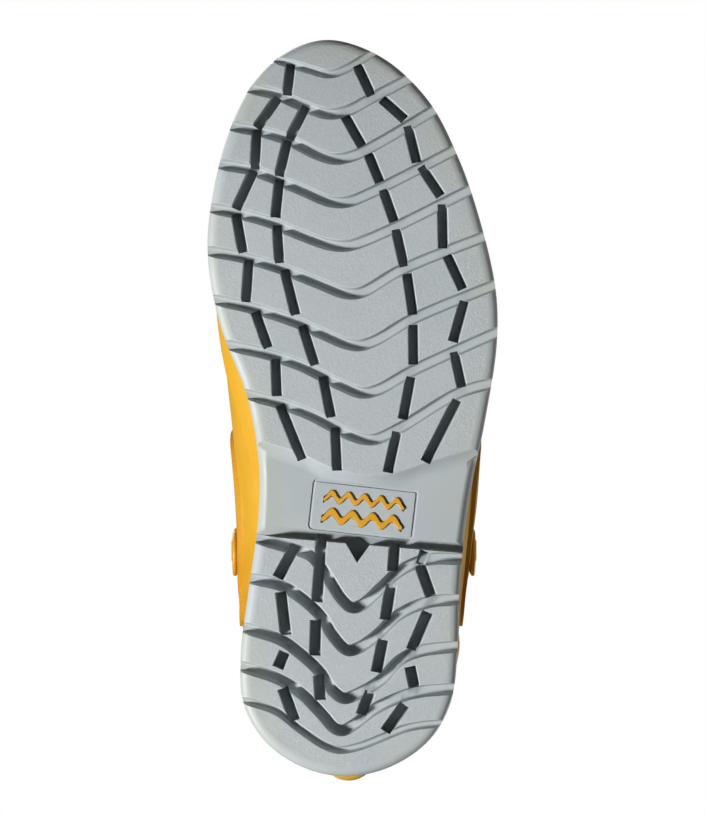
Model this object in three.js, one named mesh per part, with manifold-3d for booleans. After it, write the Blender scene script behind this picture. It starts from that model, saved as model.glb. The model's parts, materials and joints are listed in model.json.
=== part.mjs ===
// A left-foot rubber deck boot: a moulded lug outsole, a layered rubber upper, a fabric lining,
// a lift-out footbed and two pull loops. Millimetres, +Z up, +Y towards the toe, +X towards the
// medial (big toe) side. The origin is on the floor under the middle of the heel.
import * as THREE from "three";
import { mergeVertices } from "three/addons/utils/BufferGeometryUtils.js";
import { RoundedBoxGeometry } from "three/addons/geometries/RoundedBoxGeometry.js";
import Module from "manifold-3d";

const wasm = await Module();
wasm.setup();
const { Manifold, Mesh } = wasm;

// ---------------------------------------------------------------- driving dimensions
const soleLength = 300; // heel end to toe tip, over the outsole
const soleWidth = 118; // across the ball of the foot, over the outsole
const bootHeight = 330; // floor to the top edge of the rubber leg
const gap = 0.3; // clearance between bonded layers, so that each stays its own solid

const edgeRadius = 4; // how far the tread's rim is rolled in, in plan
const edgeRise = 3; // and how high that roll climbs
const grooveDepth = 3.8;
const grooveWidth = 4.6; // cross grooves, at the tread face
const slotDepth = 4.6;
const slotWidth = 4.3; // short slots between pads, at the tread face
const draft = 0.5; // each groove wall leans in by this much from top to floor
const springStart = 176; // the tread leaves the floor in front of this line
const springRise = 10; // height of the toe tip above the floor
const panelFrontRise = 3.4; // waist panel above the floor, where it meets the forefoot
const panelRearRise = 6.2; // and where it meets the heel
const panelRamp = 4; // length of the slope that the forefoot pads fade out on
const rimRise = 7; // how far the sole's side wall climbs past the bottom of the upper
const foxingHeight = 11; // rubber strip bonded over the joint above the side wall
const foxingThickness = 1.6;

const rubberWall = 2.2; // rubber of the foot and the leg
const overlayWall = 1.4; // toe cap, heel counter, patches, bands
const liningWall = 1.1;
const boardWall = 1.6;
const foamWall = 4;
const coverWall = 0.8;
const bindingHeight = 12;
const bindingWall = 1.5;

const bandHeight = 14; // strip bonded round the leg under the binding

const badgeLength = 42;
const badgeWidth = 19.5;
const badgeLine = 0.9; // width of the engraved frame line
const badgeLineDepth = 0.6;
const badgeTurn = THREE.MathUtils.degToRad(6.5); // the badge and the heel breast lie this far off square
const markProud = 0.9; // the yellow waves stand above the waist panel
const markBed = 1.2; // and are bedded this deep in it

const loopWidth = 22;
const loopLength = 42;
const loopBand = 4.6; // width of the loop's strap, on each side of its eye
const loopThickness = 2.2;
const loopStandOff = 0.5; // lets the loop turn clear of the leg
const keeperHeight = 14;
const keeperWall = 1.1; // rubber of the keeper, over the loop's top bar

// ---------------------------------------------------------------- grading
// Plan positions are drawn for a 300 x 118 mm sole and a 330 mm boot, then graded to the size above.
const drawnLength = 300;
const drawnWidth = 118;
const drawnHeight = 330;
const across = (x) => (x * soleWidth) / drawnWidth;
const along = (y) => (y * soleLength) / drawnLength;
const plan = ([x, y]) => new THREE.Vector2(across(x), along(y));
// Heights above the foot are stretched or shortened in the leg only, so the foot keeps its own depth.
const legStart = 60;
const up = (z) =>
  z <= legStart ? z : legStart + ((z - legStart) * (bootHeight - legStart)) / (drawnHeight - legStart);

// ---------------------------------------------------------------- solids and surfaces
const solidFrom = (geometry) => {
  const bare = geometry.index ? geometry.toNonIndexed() : geometry.clone();
  bare.deleteAttribute("normal");
  bare.deleteAttribute("uv");
  const merged = mergeVertices(bare, 1e-4);
  return new Manifold(
    new Mesh({
      numProp: 3,
      vertProperties: new Float32Array(merged.attributes.position.array),
      triVerts: new Uint32Array(merged.index.array),
    }),
  );
};

const geometryFrom = (solid) => {
  const mesh = solid.getMesh();
  const geometry = new THREE.BufferGeometry();
  geometry.setAttribute("position", new THREE.Float32BufferAttribute(mesh.vertProperties, 3));
  geometry.setIndex(new THREE.BufferAttribute(mesh.triVerts, 1));
  geometry.computeVertexNormals();
  return geometry;
};

// A solid from rings of points, each ring as long as the first. Rings are joined in order, and
// the two ends are capped with flat fans through the given centres.
const loft = (rings, startCentre, endCentre) => {
  const count = rings[0].length;
  const positions = [...rings.flat(), startCentre, endCentre].flatMap((p) => [p.x, p.y, p.z]);
  const faces = [];
  for (let r = 0; r + 1 < rings.length; r++)
    for (let i = 0; i < count; i++) {
      const a = r * count + i;
      const b = r * count + ((i + 1) % count);
      faces.push(a, b, b + count, a, b + count, a + count);
    }
  const start = rings.length * count;
  const last = (rings.length - 1) * count;
  for (let i = 0; i < count; i++) {
    const next = (i + 1) % count;
    faces.push(start, next, i);
    faces.push(start + 1, last + i, last + next);
  }
  const geometry = new THREE.BufferGeometry();
  geometry.setAttribute("position", new THREE.Float32BufferAttribute(positions, 3));
  geometry.setIndex(faces);
  const solid = solidFrom(geometry);
  if (solid.volume() > 0) return solid;
  geometry.setIndex(faces.reverse());
  return solidFrom(geometry);
};

const outlineCurve = (points) =>
  new THREE.CatmullRomCurve3(
    points.map((p) => new THREE.Vector3(p.x, p.y, 0)),
    true,
    "centripetal",
  );
const openCurve = (points) =>
  new THREE.CatmullRomCurve3(
    points.map((p) => new THREE.Vector3(p.x, p.y, 0)),
    false,
    "centripetal",
  );

// A plate standing on z = 0, made from a plan outline.
const plate = (points, height) => {
  const shape = new THREE.Shape(points.map((p) => new THREE.Vector2(p.x, p.y)));
  return solidFrom(new THREE.ExtrudeGeometry(shape, { depth: height, bevelEnabled: false }));
};

// A slab across the whole boot, cut to a side outline of [y, z] points.
const slabWide = 400;
const sideSlab = (points, halfWidth = slabWide / 2) => {
  const shape = new THREE.Shape(points.map(([y, z]) => new THREE.Vector2(y, z)));
  const geometry = new THREE.ExtrudeGeometry(shape, { depth: 2 * halfWidth, bevelEnabled: false });
  const turn = new THREE.Matrix4().set(0, 0, 1, -halfWidth, 1, 0, 0, 0, 0, 1, 0, 0, 0, 0, 0, 1);
  return solidFrom(geometry.applyMatrix4(turn));
};

// ---------------------------------------------------------------- the sole's outline in plan
// Medial side from the toe tip back to the heel, then the lateral side forward again.
const solePlan = [
  [7.3, 254.6],
  [24.7, 249.2],
  [38, 236.5],
  [48.2, 215],
  [55, 186],
  [56.2, 166],
  [51.5, 139],
  [40, 108],
  [35.6, 82],
  [35.9, 58],
  [39.6, 30],
  [42.8, 4],
  [41.6, -16],
  [33, -31],
  [18, -41.5],
  [0, -45.4],
  [-18, -41.5],
  [-34, -30.5],
  [-42.6, -15],
  [-45.3, 6],
  [-46.3, 34],
  [-50.3, 68],
  [-56.6, 100],
  [-61.2, 130],
  [-60.8, 152],
  [-54.2, 181],
  [-45.2, 207],
  [-33, 230],
  [-14, 247.6],
].map(plan);
const outlineSteps = 50;
const soleOutline = outlineCurve(solePlan);

// The outline, drawn in by a distance along its own normal.
const outlineAt = (inset) =>
  Array.from({ length: outlineSteps }, (_, i) => {
    const t = i / outlineSteps;
    const p = soleOutline.getPoint(t);
    const tangent = soleOutline.getTangent(t);
    return new THREE.Vector3(p.x + tangent.y * inset, p.y - tangent.x * inset, 0);
  });
const toeTip = along(254.6);
const heelEnd = along(-45.4);

// ---------------------------------------------------------------- the upper's surface
// Stations from the toe tip, under the foot and round the heel, up to the top of the leg. Each is a
// plane loop from a low or rear point to a top or front point: [rear y, rear z, front y, front z,
// medial half width, lateral half width, share of the height where it is widest, squareness of the
// rear half, squareness of the front half].
const stations = [
  [250.5, 27, 250.5, 35, 12, 3, 0.5, 2, 2],
  [245, 23, 245.5, 41, 23.5, -9, 0.46, 2.6, 2.2],
  [234, 18.6, 237, 51, 34.5, -23.5, 0.44, 3, 2.3],
  [218, 15.4, 223, 59.5, 42.5, -34, 0.42, 3.4, 2.3],
  [197, 13.2, 204, 66, 48.5, -43.5, 0.4, 3.8, 2.3],
  [172, 12.2, 181, 72, 52, -52, 0.38, 4, 2.2],
  [146, 12.2, 158, 80, 52.2, -56.4, 0.38, 3.6, 2.1],
  [120, 13.6, 137, 92, 50.6, -57, 0.4, 2.8, 2],
  [95, 16.2, 119, 107, 48.6, -56, 0.42, 2.2, 2],
  [70, 18.8, 105, 122, 46.8, -54.8, 0.44, 2, 2],
  [44, 20.6, 96, 136, 45.4, -53.6, 0.45, 2.2, 2],
  [18, 21.8, 91, 148, 44.6, -51.4, 0.46, 2.4, 2],
  [-8, 22.8, 88, 158, 44.2, -49.4, 0.47, 2.5, 2],
  [-28, 26.4, 86.4, 167, 44, -48.6, 0.48, 2.4, 2],
  [-37.8, 36.5, 85.6, 176, 44.2, -48.4, 0.48, 2.2, 2],
  [-41.2, 52, 85.2, 186, 45, -49, 0.48, 2.1, 2],
  [-41.2, 74, 85.2, 197, 46.2, -50, 0.5, 2, 2.05],
  [-38.4, 100, 85.8, 210, 47.8, -51.6, 0.52, 1.9, 2.1],
  [-35.6, 129, 87, 225, 49, -53.4, 0.53, 1.86, 2.15],
  [-34.6, 162, 88.8, 243, 49.8, -55, 0.54, 1.84, 2.2],
  [-35, 200, 91.2, 262, 50.3, -56.2, 0.54, 1.82, 2.25],
  [-36.4, 242, 94.2, 284, 50.6, -56.9, 0.54, 1.8, 2.3],
  [-37.8, 286, 97.4, 307, 50.8, -57.3, 0.54, 1.8, 2.3],
  [-39, 330, 100.6, 330, 50.9, -57.5, 0.54, 1.8, 2.3],
  [-39.4, 345, 101.6, 345, 50.9, -57.5, 0.54, 1.8, 2.3],
];
const topStation = stations.length - 2;
const legSplit = 15; // the foot and the leg are joined along this station

// One column of the table above, read between stations by a Catmull-Rom spline.
const columnAt = (column, t) => {
  const clamped = Math.min(Math.max(t, 0), stations.length - 1);
  const i = Math.min(Math.floor(clamped), stations.length - 2);
  const f = clamped - i;
  const at = (k) => stations[Math.min(Math.max(k, 0), stations.length - 1)][column];
  const [a, b, c, d] = [at(i - 1), at(i), at(i + 1), at(i + 2)];
  return (
    0.5 * (2 * b + (c - a) * f + (2 * a - 5 * b + 4 * c - d) * f * f + (3 * b - a - 3 * c + d) * f ** 3)
  );
};

const signedPower = (value, power) => Math.sign(value) * Math.abs(value) ** power;

// A point of the upper's outer face: station t, angle phi (-90 degrees at the rear or the bottom).
const upperPoint = (t, phi) => {
  const [ry, rz, fy, fz, medial, lateral, widest, rearSquare, frontSquare] = stations[0].map((_, c) =>
    columnAt(c, t),
  );
  const rear = new THREE.Vector3(0, along(ry), up(rz));
  const front = new THREE.Vector3(0, along(fy), up(fz));
  const centre = across((medial + lateral) / 2);
  const half = across((medial - lateral) / 2);
  const square = Math.sin(phi) < 0 ? rearSquare : frontSquare;
  const x = centre + half * signedPower(Math.cos(phi), 2 / square);
  const rise = signedPower(Math.sin(phi), 2 / square);
  const share = rise < 0 ? widest * (1 + rise) : widest + (1 - widest) * rise;
  return rear.lerp(front, share).setX(x);
};

// The same point moved out by a distance along the surface's normal.
const nudge = 0.02;
const offsetPoint = (t, phi, distance) => {
  const p = upperPoint(t, phi);
  const side = upperPoint(t, phi + nudge).sub(upperPoint(t, phi - nudge));
  const ahead = upperPoint(Math.min(t + nudge, topStation + 1), phi).sub(
    upperPoint(Math.max(t - nudge, 0), phi),
  );
  const normal = side.cross(ahead).normalize();
  return p.addScaledVector(normal, distance);
};

const roundSteps = 18;
const angleAt = (i) => ((i + 0.5) / roundSteps) * 2 * Math.PI;
const ring = (t, distance) =>
  Array.from({ length: roundSteps }, (_, i) => offsetPoint(t, angleAt(i), distance));
const toePole = (distance) => upperPoint(0, 0).setX(across(7.4)).setY(along(251.6) + distance);
const range = (from, to) => {
  const list = [from];
  for (let t = Math.floor(from) + 1; t < to; t++) list.push(t);
  return [...list, to];
};
const centreOf = (points) =>
  points.reduce((sum, p) => sum.add(p), new THREE.Vector3()).divideScalar(points.length);

// Everything inside the upper's surface, from the toe to station t, grown by a distance.
const toeStation = 0.12;
const made = new Map();
const upperBody = (distance, to = topStation + 1) => {
  const key = `${distance} ${to}`;
  if (!made.has(key)) {
    const rings = range(toeStation, to).map((t) => ring(t, distance));
    made.set(key, loft(rings, toePole(distance), centreOf(rings.at(-1))));
  }
  return made.get(key);
};

// ---------------------------------------------------------------- side heights
const soleTop = (y) => {
  // bottom of the upper along the foot, with the side wall's climb added
  const line = stations.slice(1, 13).map((s) => [along(s[0]), up(s[1])]);
  line.push([heelEnd - 8, up(24.5)]);
  line.unshift([toeTip + 8, up(26)]);
  for (let i = 0; i + 1 < line.length; i++) {
    const [y0, z0] = line[i];
    const [y1, z1] = line[i + 1];
    if (y <= y0 && y >= y1) return z0 + ((z1 - z0) * (y - y0)) / (y1 - y0) + rimRise;
  }
  return line.at(-1)[1] + rimRise;
};
const sideSteps = 10;
const heightLine = (rise) =>
  Array.from({ length: sideSteps + 1 }, (_, i) => {
    const y = THREE.MathUtils.lerp(heelEnd - 8, toeTip + 8, i / sideSteps);
    return [y, soleTop(y) + rise];
  });
const highSlab = 500;
const above = (rise) => sideSlab([...heightLine(rise), [toeTip + 8, highSlab], [heelEnd - 8, highSlab]]);

// ---------------------------------------------------------------- tread
const springLine = along(springStart);
const spring = (y) => (y <= springLine ? 0 : springRise * ((y - springLine) / (toeTip - springLine)) ** 2);

// Centre lines of the cross grooves, toe to ball, medial side first.
const forefootGrooves = [
  [[34, 248], [26, 245.4], [16, 242.5], [7.5, 240.2], [1.5, 241.6], [-14, 251]],
  [[46, 235.5], [29, 232], [18.5, 227.5], [7.3, 223.8], [-0.5, 225], [-10, 230], [-29, 240]],
  [[54, 220], [34, 216.4], [22.7, 212.8], [12.5, 207.6], [4.5, 205.3], [-2.5, 206.5], [-10, 210], [-42, 229]],
  [[57, 204], [39, 201], [28.8, 197.3], [18.6, 193], [6.5, 188], [-0.5, 187.8], [-9, 191], [-50, 212]],
  [[59, 186], [43, 183], [31, 179.6], [18.6, 174.6], [6.5, 170.4], [-0.5, 170], [-9, 172.6], [-56, 195.5]],
  [[60, 168.4], [43, 165.6], [26.8, 161], [10.5, 154.6], [0.4, 150.8], [-6, 151], [-22, 160], [-62, 176]],
  [[58, 149], [39, 145], [22.7, 140], [10.5, 134.8], [0.4, 130.5], [-5.6, 129.6], [-12, 131.6], [-26, 139.8],
    [-65, 156]],
  [[52, 130.4], [33, 126.4], [18.6, 121.6], [4.5, 114.7], [-6.5, 110.4], [-13, 111.6], [-26, 118.8], [-65, 136.6]],
  [[45, 110.8], [27, 106.2], [14.6, 101.6], [2.4, 95.2], [-6.5, 91.8], [-12, 91.6], [-22, 96.2], [-46, 110.4],
    [-64, 115.4]],
];
// Slots between neighbouring grooves, from the front end to the rear end.
const forefootSlots = [
  [[22.5, 244.5], [24, 231.5]],
  [[-4.5, 244], [-10.3, 231.4]],
  [[27.6, 230.5], [36.2, 218]],
  [[16.2, 227], [23, 213.5]],
  [[0.4, 223], [-6.6, 210.5]],
  [[-14.6, 230], [-24, 221.5]],
  [[36.2, 217.5], [37, 201.2]],
  [[23.7, 213], [27.2, 198.3]],
  [[-9, 207.5], [-13.8, 195.8]],
  [[-25, 219], [-28.8, 203.8]],
  [[37.4, 200.6], [44.6, 184.8]],
  [[27, 197.2], [28.6, 181.4]],
  [[-15, 193], [-19.6, 179.8]],
  [[-30.4, 202.4], [-38.5, 190.2]],
  [[44.6, 183], [41.8, 167.2]],
  [[28, 178.4], [27, 163]],
  [[-20.2, 176.8], [-23.6, 161.6]],
  [[-39, 187], [-39.4, 169]],
  [[39.4, 164.3], [40.6, 147.2]],
  [[25, 160.4], [20.4, 142]],
  [[-24.8, 158.7], [-27.2, 142]],
  [[-41, 166.2], [-47.4, 152.4]],
  [[36.8, 143.3], [31.6, 128.6]],
  [[17.8, 137.8], [12.6, 121.6]],
  [[-27.2, 138], [-27.4, 121.8]],
  [[-48, 147.6], [-43.4, 131]],
  [[28.6, 124], [28, 109]],
  [[9.4, 117], [6, 100.4]],
  [[-26.3, 116.8], [-23.1, 99.6]],
  [[-43.8, 127], [-47, 112.6]],
  [[26.8, 105.6], [17.8, 83.2]],
  [[4.4, 96.2], [3.6, 78.8]],
  [[-20.6, 94.6], [-17, 78]],
  [[-45, 107.4], [-32.2, 82.2]],
];
// The heel's deeper chevrons and slots.
const heelGrooves = [
  [[42, 52.8], [24, 48], [14, 44.2], [8, 36.5], [1.5, 26.6], [-2.5, 23.4], [-6.5, 24.4], [-14, 31], [-22, 38.2],
    [-33, 42.8], [-52, 42.6]],
  [[46, 36], [27, 32.6], [18.6, 27.6], [10.5, 20.3], [5.4, 12.2], [-0.4, 6.2], [-4.4, 6.6], [-12, 11.6],
    [-21.8, 20.6], [-34, 25.6], [-52, 26.6]],
  [[49, 17], [27, 10.6], [18.6, 4.8], [10.5, -2.8], [5, -10.6], [0.6, -13.4], [-5, -11.6], [-13.8, -6.4],
    [-22, 2], [-30, 5.6], [-52, 8]],
  [[49, 1], [28.6, -5], [18.6, -11], [10.5, -19], [4.4, -25.6], [1, -26.4], [-3.6, -24], [-11.8, -17.8],
    [-22, -13], [-30, -10.8], [-50, -9.4]],
  [[46, -13.4], [28.8, -18.4], [18.6, -26], [8.6, -32.6], [2.4, -34.4], [-5.6, -33], [-15.8, -29], [-26, -25.2],
    [-46, -23]],
];
const heelSlots = [
  [[20.4, 48.5], [27.6, 35.2]],
  [[9.8, 53], [11.8, 25.5]],
  [[-19.8, 49], [-19, 38]],
  [[-32.4, 46], [-30, 40.4]],
  [[-30, 40.4], [-34.6, 27.6]],
  [[-18.2, 32.4], [-16, 18.2]],
  [[26.4, 29.6], [24.4, 12.2]],
  [[12.2, 18.2], [12.6, 3.8]],
  [[-15, 10.2], [-12.4, -3]],
  [[-33.2, 21.4], [-26.6, 6]],
  [[24.8, 5.2], [27.6, -1.2]],
  [[11, -4.2], [10.4, -14.2]],
  [[-9.6, -11], [-6.2, -20.4]],
  [[-26, -0.6], [-27.8, -9.4]],
  [[25.6, -9.4], [20.8, -22.6]],
  [[-23.8, -16.2], [-16, -27.2]],
];
const grooveSteps = 1; // straight pieces between one drawn point and the next

// A drafted cutter that follows a plan line: wide below the tread face, narrower at its floor.
const channel = (points, width, depth, steps) => {
  const curve = openCurve(points);
  const count = (points.length - 1) * steps;
  const rings = Array.from({ length: count + 1 }, (_, i) => {
    const p = curve.getPoint(i / count);
    const tangent = curve.getTangent(i / count);
    const side = new THREE.Vector3(-tangent.y, tangent.x, 0);
    const wide = width / 2 + draft / 4;
    const narrow = width / 2 - draft;
    return [
      p.clone().addScaledVector(side, wide).setZ(-1),
      p.clone().addScaledVector(side, -wide).setZ(-1),
      p.clone().addScaledVector(side, -narrow).setZ(depth),
      p.clone().addScaledVector(side, narrow).setZ(depth),
    ];
  });
  return loft(rings, centreOf(rings[0]), centreOf(rings.at(-1)));
};

// The heel breast, where the heel block steps down from the waist, and the forefoot's rear edge.
const breastLine = [[60, 55], [36, 52.4], [-46, 45.4], [-70, 43.4]].map(plan);
const forefootEnd = [[60, 95], [34.8, 91.2], [18.6, 86.3], [6.5, 80.7], [-8, 77.6], [-20, 78.2], [-32, 82],
  [-53.5, 88.4], [-70, 92]].map(plan);

const waistCutter = () => {
  const front = openCurve(forefootEnd).getPoints(16);
  const low = -1;
  const rise = (y) =>
    THREE.MathUtils.mapLinear(y, along(82), along(49), panelFrontRise, panelRearRise);
  const floorRing = [...front.map((p) => p.clone().setY(p.y - along(panelRamp))), ...breastLine.toReversed()];
  const openRing = [...front, ...breastLine.toReversed()];
  const bottom = openRing.map((p) => new THREE.Vector3(p.x, p.y, low));
  const top = floorRing.map((p) => new THREE.Vector3(p.x, p.y, rise(p.y)));
  return loft([bottom, top], centreOf(bottom), centreOf(top));
};

// ---------------------------------------------------------------- badge
const badgeCentre = plan([-6.9, 62.8]);
const panelHeight = (y) =>
  THREE.MathUtils.mapLinear(y, along(82), along(49), panelFrontRise, panelRearRise);
const badgePlace = (u, v) =>
  new THREE.Vector3(
    badgeCentre.x - across(u * Math.cos(badgeTurn) - v * Math.sin(badgeTurn)),
    badgeCentre.y - along(u * Math.sin(badgeTurn) + v * Math.cos(badgeTurn)),
    0,
  );
// A ribbon of waves, as a plan outline: ends rounded off by the wave itself.
const waveOutline = (row, length, thickness, height, waves, grow) => {
  const steps = waves * 6;
  const line = Array.from({ length: steps + 1 }, (_, i) => {
    const u = (i / steps - 0.5) * length;
    const v = row + (height / 2) * Math.cos((2 * Math.PI * waves * i) / steps);
    return [u * (1 + grow / length), v];
  });
  const half = thickness / 2 + grow;
  const upper = line.map(([u, v]) => badgePlace(u, v - half));
  const lower = line.map(([u, v]) => badgePlace(u, v + half));
  return [...upper, ...lower.reverse()];
};
const waveRows = {
  badge_wave_front: { row: -3.9, length: 33, thickness: 2.5, height: 3, waves: 5 },
  badge_wave_rear: { row: 3.9, length: 33, thickness: 3.2, height: 3.4, waves: 4 },
};
const waveSolid = ({ row, length, thickness, height, waves }, grow, from, to) =>
  plate(waveOutline(row, length, thickness, height, waves, grow), 1).warp((v) => {
    const floor = panelHeight(v[1]);
    v[2] = v[2] > 0.5 ? floor + to : floor + from;
  });
const badgeFrame = () => {
  const box = (grow) => {
    const a = badgeLength / 2 + grow;
    const b = badgeWidth / 2 + grow;
    return plate([badgePlace(-a, -b), badgePlace(a, -b), badgePlace(a, b), badgePlace(-a, b)], 1);
  };
  return box(0)
    .subtract(box(-badgeLine).warp((v) => void (v[2] = v[2] * 3 - 1)))
    .warp((v) => {
      v[2] = v[2] > 0.5 ? panelHeight(v[1]) + badgeLineDepth : -1;
    });
};

// ---------------------------------------------------------------- hollows in the sole for its fillers
const heelFillerPlan = [[24, 40], [30, 20], [29, 0], [20, -20], [0, -29], [-22, -20], [-31, 0], [-32, 20],
  [-27, 38]].map(plan);
const heelFillerFloor = 9;
const heelFillerHeight = 17;
const forefootFillerPlan = [[24, 218], [38, 195], [40, 165], [34, 135], [22, 108], [-34, 108], [-44, 135],
  [-44, 160], [-36, 190], [-14, 218]].map(plan);
const forefootFillerWall = 1.6;
const shankWidth = 16;
const shankLength = 88;
const shankWall = 1.4;
const shankCentre = plan([-4, 58]);
const shankPlan = (grow) => {
  const a = shankWidth / 2 + grow;
  const b = along(shankLength) / 2 + grow;
  return [[-a, -b], [a, -b], [a, b], [-a, b]].map(
    ([x, y]) => new THREE.Vector2(shankCentre.x + x, shankCentre.y + y),
  );
};
const drawIn = (points, inset) => {
  const curve = outlineCurve(points);
  return curve.getSpacedPoints(28).slice(0, -1).map((p, i) => {
    const tangent = curve.getTangentAt(i / 28);
    const clockwise = THREE.ShapeUtils.isClockWise(points) ? 1 : -1;
    return new THREE.Vector2(p.x + tangent.y * clockwise * inset, p.y - tangent.x * clockwise * inset);
  });
};
// A plate that lies against the bottom of the upper, down to a depth below its surface.
const underHeight = 24;
const underUpper = (outline, depth) => plate(outline, underHeight).intersect(upperBody(depth));
const heelPrism = (inset) =>
  plate(drawIn(heelFillerPlan, inset), heelFillerHeight - 2 * inset).translate([0, 0, heelFillerFloor + inset]);
const forefootPrism = (inset, depth) => underUpper(drawIn(forefootFillerPlan, inset), depth);
const shankSlot = () => underUpper(shankPlan(gap), shankWall + 2 * gap);

// ---------------------------------------------------------------- outsole
const solidSole = () => {
  const rings = [
    outlineAt(edgeRadius).map((p) => p.setZ(0)),
    outlineAt(0).map((p) => p.setZ(edgeRise)),
    outlineAt(0.6).map((p) => p.setZ(highSlab / 4)),
  ];
  return loft(rings, centreOf(rings[0]), centreOf(rings.at(-1)));
};

const outsoleSolid = () => {
  const cutters = [
    ...forefootGrooves.map((g) => channel(g.map(plan), grooveWidth, grooveDepth, grooveSteps)),
    ...heelGrooves.map((g) => channel(g.map(plan), grooveWidth, grooveDepth, grooveSteps)),
    ...forefootSlots.map((s) => channel(s.map(plan), slotWidth, slotDepth, 1)),
    ...heelSlots.map((s) => channel(s.map(plan), slotWidth, slotDepth, 1)),
  ];
  const notch = plate([[0.4, 49.6], [-4.4, 41.4], [-9.8, 48.8], [-5, 52]].map(plan), grooveDepth + 1);
  const tread = Manifold.union([...cutters, waistCutter(), notch.translate([0, 0, -1])]);
  const marks = Object.values(waveRows).map((row) => waveSolid(row, gap, -1, markBed + gap));
  const treaded = solidSole().subtract(tread).subtract(Manifold.union([...marks, badgeFrame()]));
  const sprung = treaded.warp((v) => {
    if (v[2] < highSlab / 8) v[2] += spring(v[1]);
  });
  return sprung
    .subtract(above(0))
    .subtract(upperBody(gap))
    .subtract(heelPrism(0))
    .subtract(forefootPrism(0, forefootFillerWall + 2 * gap))
    .subtract(shankSlot());
};

// ---------------------------------------------------------------- layers of the upper
const ends = [-200, 300];
const levels = (from, to) => sideSlab([[ends[0], from], [ends[1], from], [ends[1], to], [ends[0], to]]);
// The foot and the leg are moulded apart and meet along a slanting line from the heel to the instep.
const splitAt = (shift) => {
  const rear = new THREE.Vector2(along(stations[legSplit][0]), up(stations[legSplit][1]));
  const front = new THREE.Vector2(along(stations[legSplit][2]), up(stations[legSplit][3]));
  const run = front.clone().sub(rear);
  const rise = new THREE.Vector2(-run.y, run.x).normalize().multiplyScalar(shift);
  return [-0.4, 1.4].map((f) => rear.clone().addScaledVector(run, f).add(rise).toArray());
};
const aboveSplit = () => sideSlab([...splitAt(gap / 2), [ends[1], highSlab], [ends[0], highSlab]]);
const belowSplit = () => sideSlab([...splitAt(-gap / 2), [ends[1], -20], [ends[0], -20]]);
const wall = (outer, inner) => upperBody(outer).subtract(upperBody(inner)).intersect(levels(-20, bootHeight));

const footShell = () => wall(0, -rubberWall).intersect(belowSplit());
const legShell = () => wall(0, -rubberWall).intersect(aboveSplit());
const liningOuter = -(rubberWall + gap);
const liningInner = liningOuter - liningWall;
const liningSolid = () => wall(liningOuter, liningInner);

// A layer bonded on the outside of the upper, kept where it lies inside a region.
const overlay = (region, thickness = overlayWall) => wall(gap + thickness, gap).intersect(region);

const aboveFoxing = gap + foxingHeight + gap;
const foxing = () =>
  overlay(above(gap).subtract(above(gap + foxingHeight)), foxingThickness);

const toeCapRegion = () =>
  sideSlab([[along(206), -10], [along(196), up(50)], [along(202), up(90)], [toeTip + 8, up(90)], [toeTip + 8, -10]])
    .intersect(above(aboveFoxing));
const heelCounterRegion = () =>
  sideSlab([[heelEnd - 9, -10], [along(22), -10], [along(12), up(52)], [along(-8), up(82)], [along(-24), up(90)],
    [heelEnd - 9, up(90)]]).intersect(above(aboveFoxing));
const backStripHalf = 11;
const stripTop = bootHeight - bindingHeight - bandHeight - 2 * gap;
const backStripRegion = () =>
  sideSlab([[-80, up(90) + gap], [along(-10), up(90) + gap], [along(-10), stripTop], [-80, stripTop]], backStripHalf);
const instepHalf = 26;
const instepRegion = () =>
  sideSlab([[along(172), up(60)], [along(172), up(100)], [along(112), up(190)], [along(70), up(214)],
    [along(60), up(196)], [along(92), up(120)], [along(130), up(70)]], instepHalf);
const ankleCentre = [along(53), up(84)];
const ankleReach = 44; // half length of the oval, and half its height
const ankleRise = 24;
const ankleLean = THREE.MathUtils.degToRad(-20); // its front end points down to the instep
const anklePatch = (side) => {
  const oval = new THREE.Shape();
  oval.absellipse(0, 0, ankleReach, ankleRise, 0, 2 * Math.PI, false, side * ankleLean);
  const geometry = new THREE.ExtrudeGeometry(oval, { depth: 90, bevelEnabled: false, curveSegments: 14 });
  const place = new THREE.Matrix4().set(0, 0, side, side * 8, side, 0, 0, ankleCentre[0], 0, 1, 0, ankleCentre[1],
    0, 0, 0, 1);
  return overlay(solidFrom(geometry.applyMatrix4(place)));
};
const topBandRegion = () =>
  levels(bootHeight - bindingHeight - gap - bandHeight, bootHeight - bindingHeight - gap);

const bindingSolid = () => {
  const inner = liningInner - gap;
  const low = bootHeight - bindingHeight;
  const slot = upperBody(gap).subtract(upperBody(inner)).intersect(levels(-20, bootHeight + gap));
  return upperBody(gap + bindingWall)
    .subtract(upperBody(inner - bindingWall))
    .intersect(levels(low, bootHeight + gap + bindingWall))
    .subtract(slot);
};

// ---------------------------------------------------------------- layers under the foot
// A dished plate that follows the inside of the boot's bottom, with its edges turned up by a lip.
const below = (rise) => sideSlab([...heightLine(rise), [toeTip + 8, -20], [heelEnd - 8, -20]]);
const plateFront = 231;
const behindToe = () =>
  sideSlab([[ends[0], -20], [along(plateFront), -20], [along(plateFront), legStart * 2], [ends[0], legStart * 2]]);
const largest = (solid) => solid.decompose().sort((a, b) => b.volume() - a.volume())[0];
const footPlate = (outer, thickness, lip) =>
  largest(
    upperBody(outer)
      .subtract(upperBody(outer - thickness))
      .intersect(below(lip - outer - rimRise))
      .intersect(behindToe()),
  );
const boardOuter = liningInner - gap;
const foamOuter = boardOuter - boardWall - gap;
const coverOuter = foamOuter - foamWall - gap;
const boardLip = 4;
const footbedLip = 6;

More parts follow.
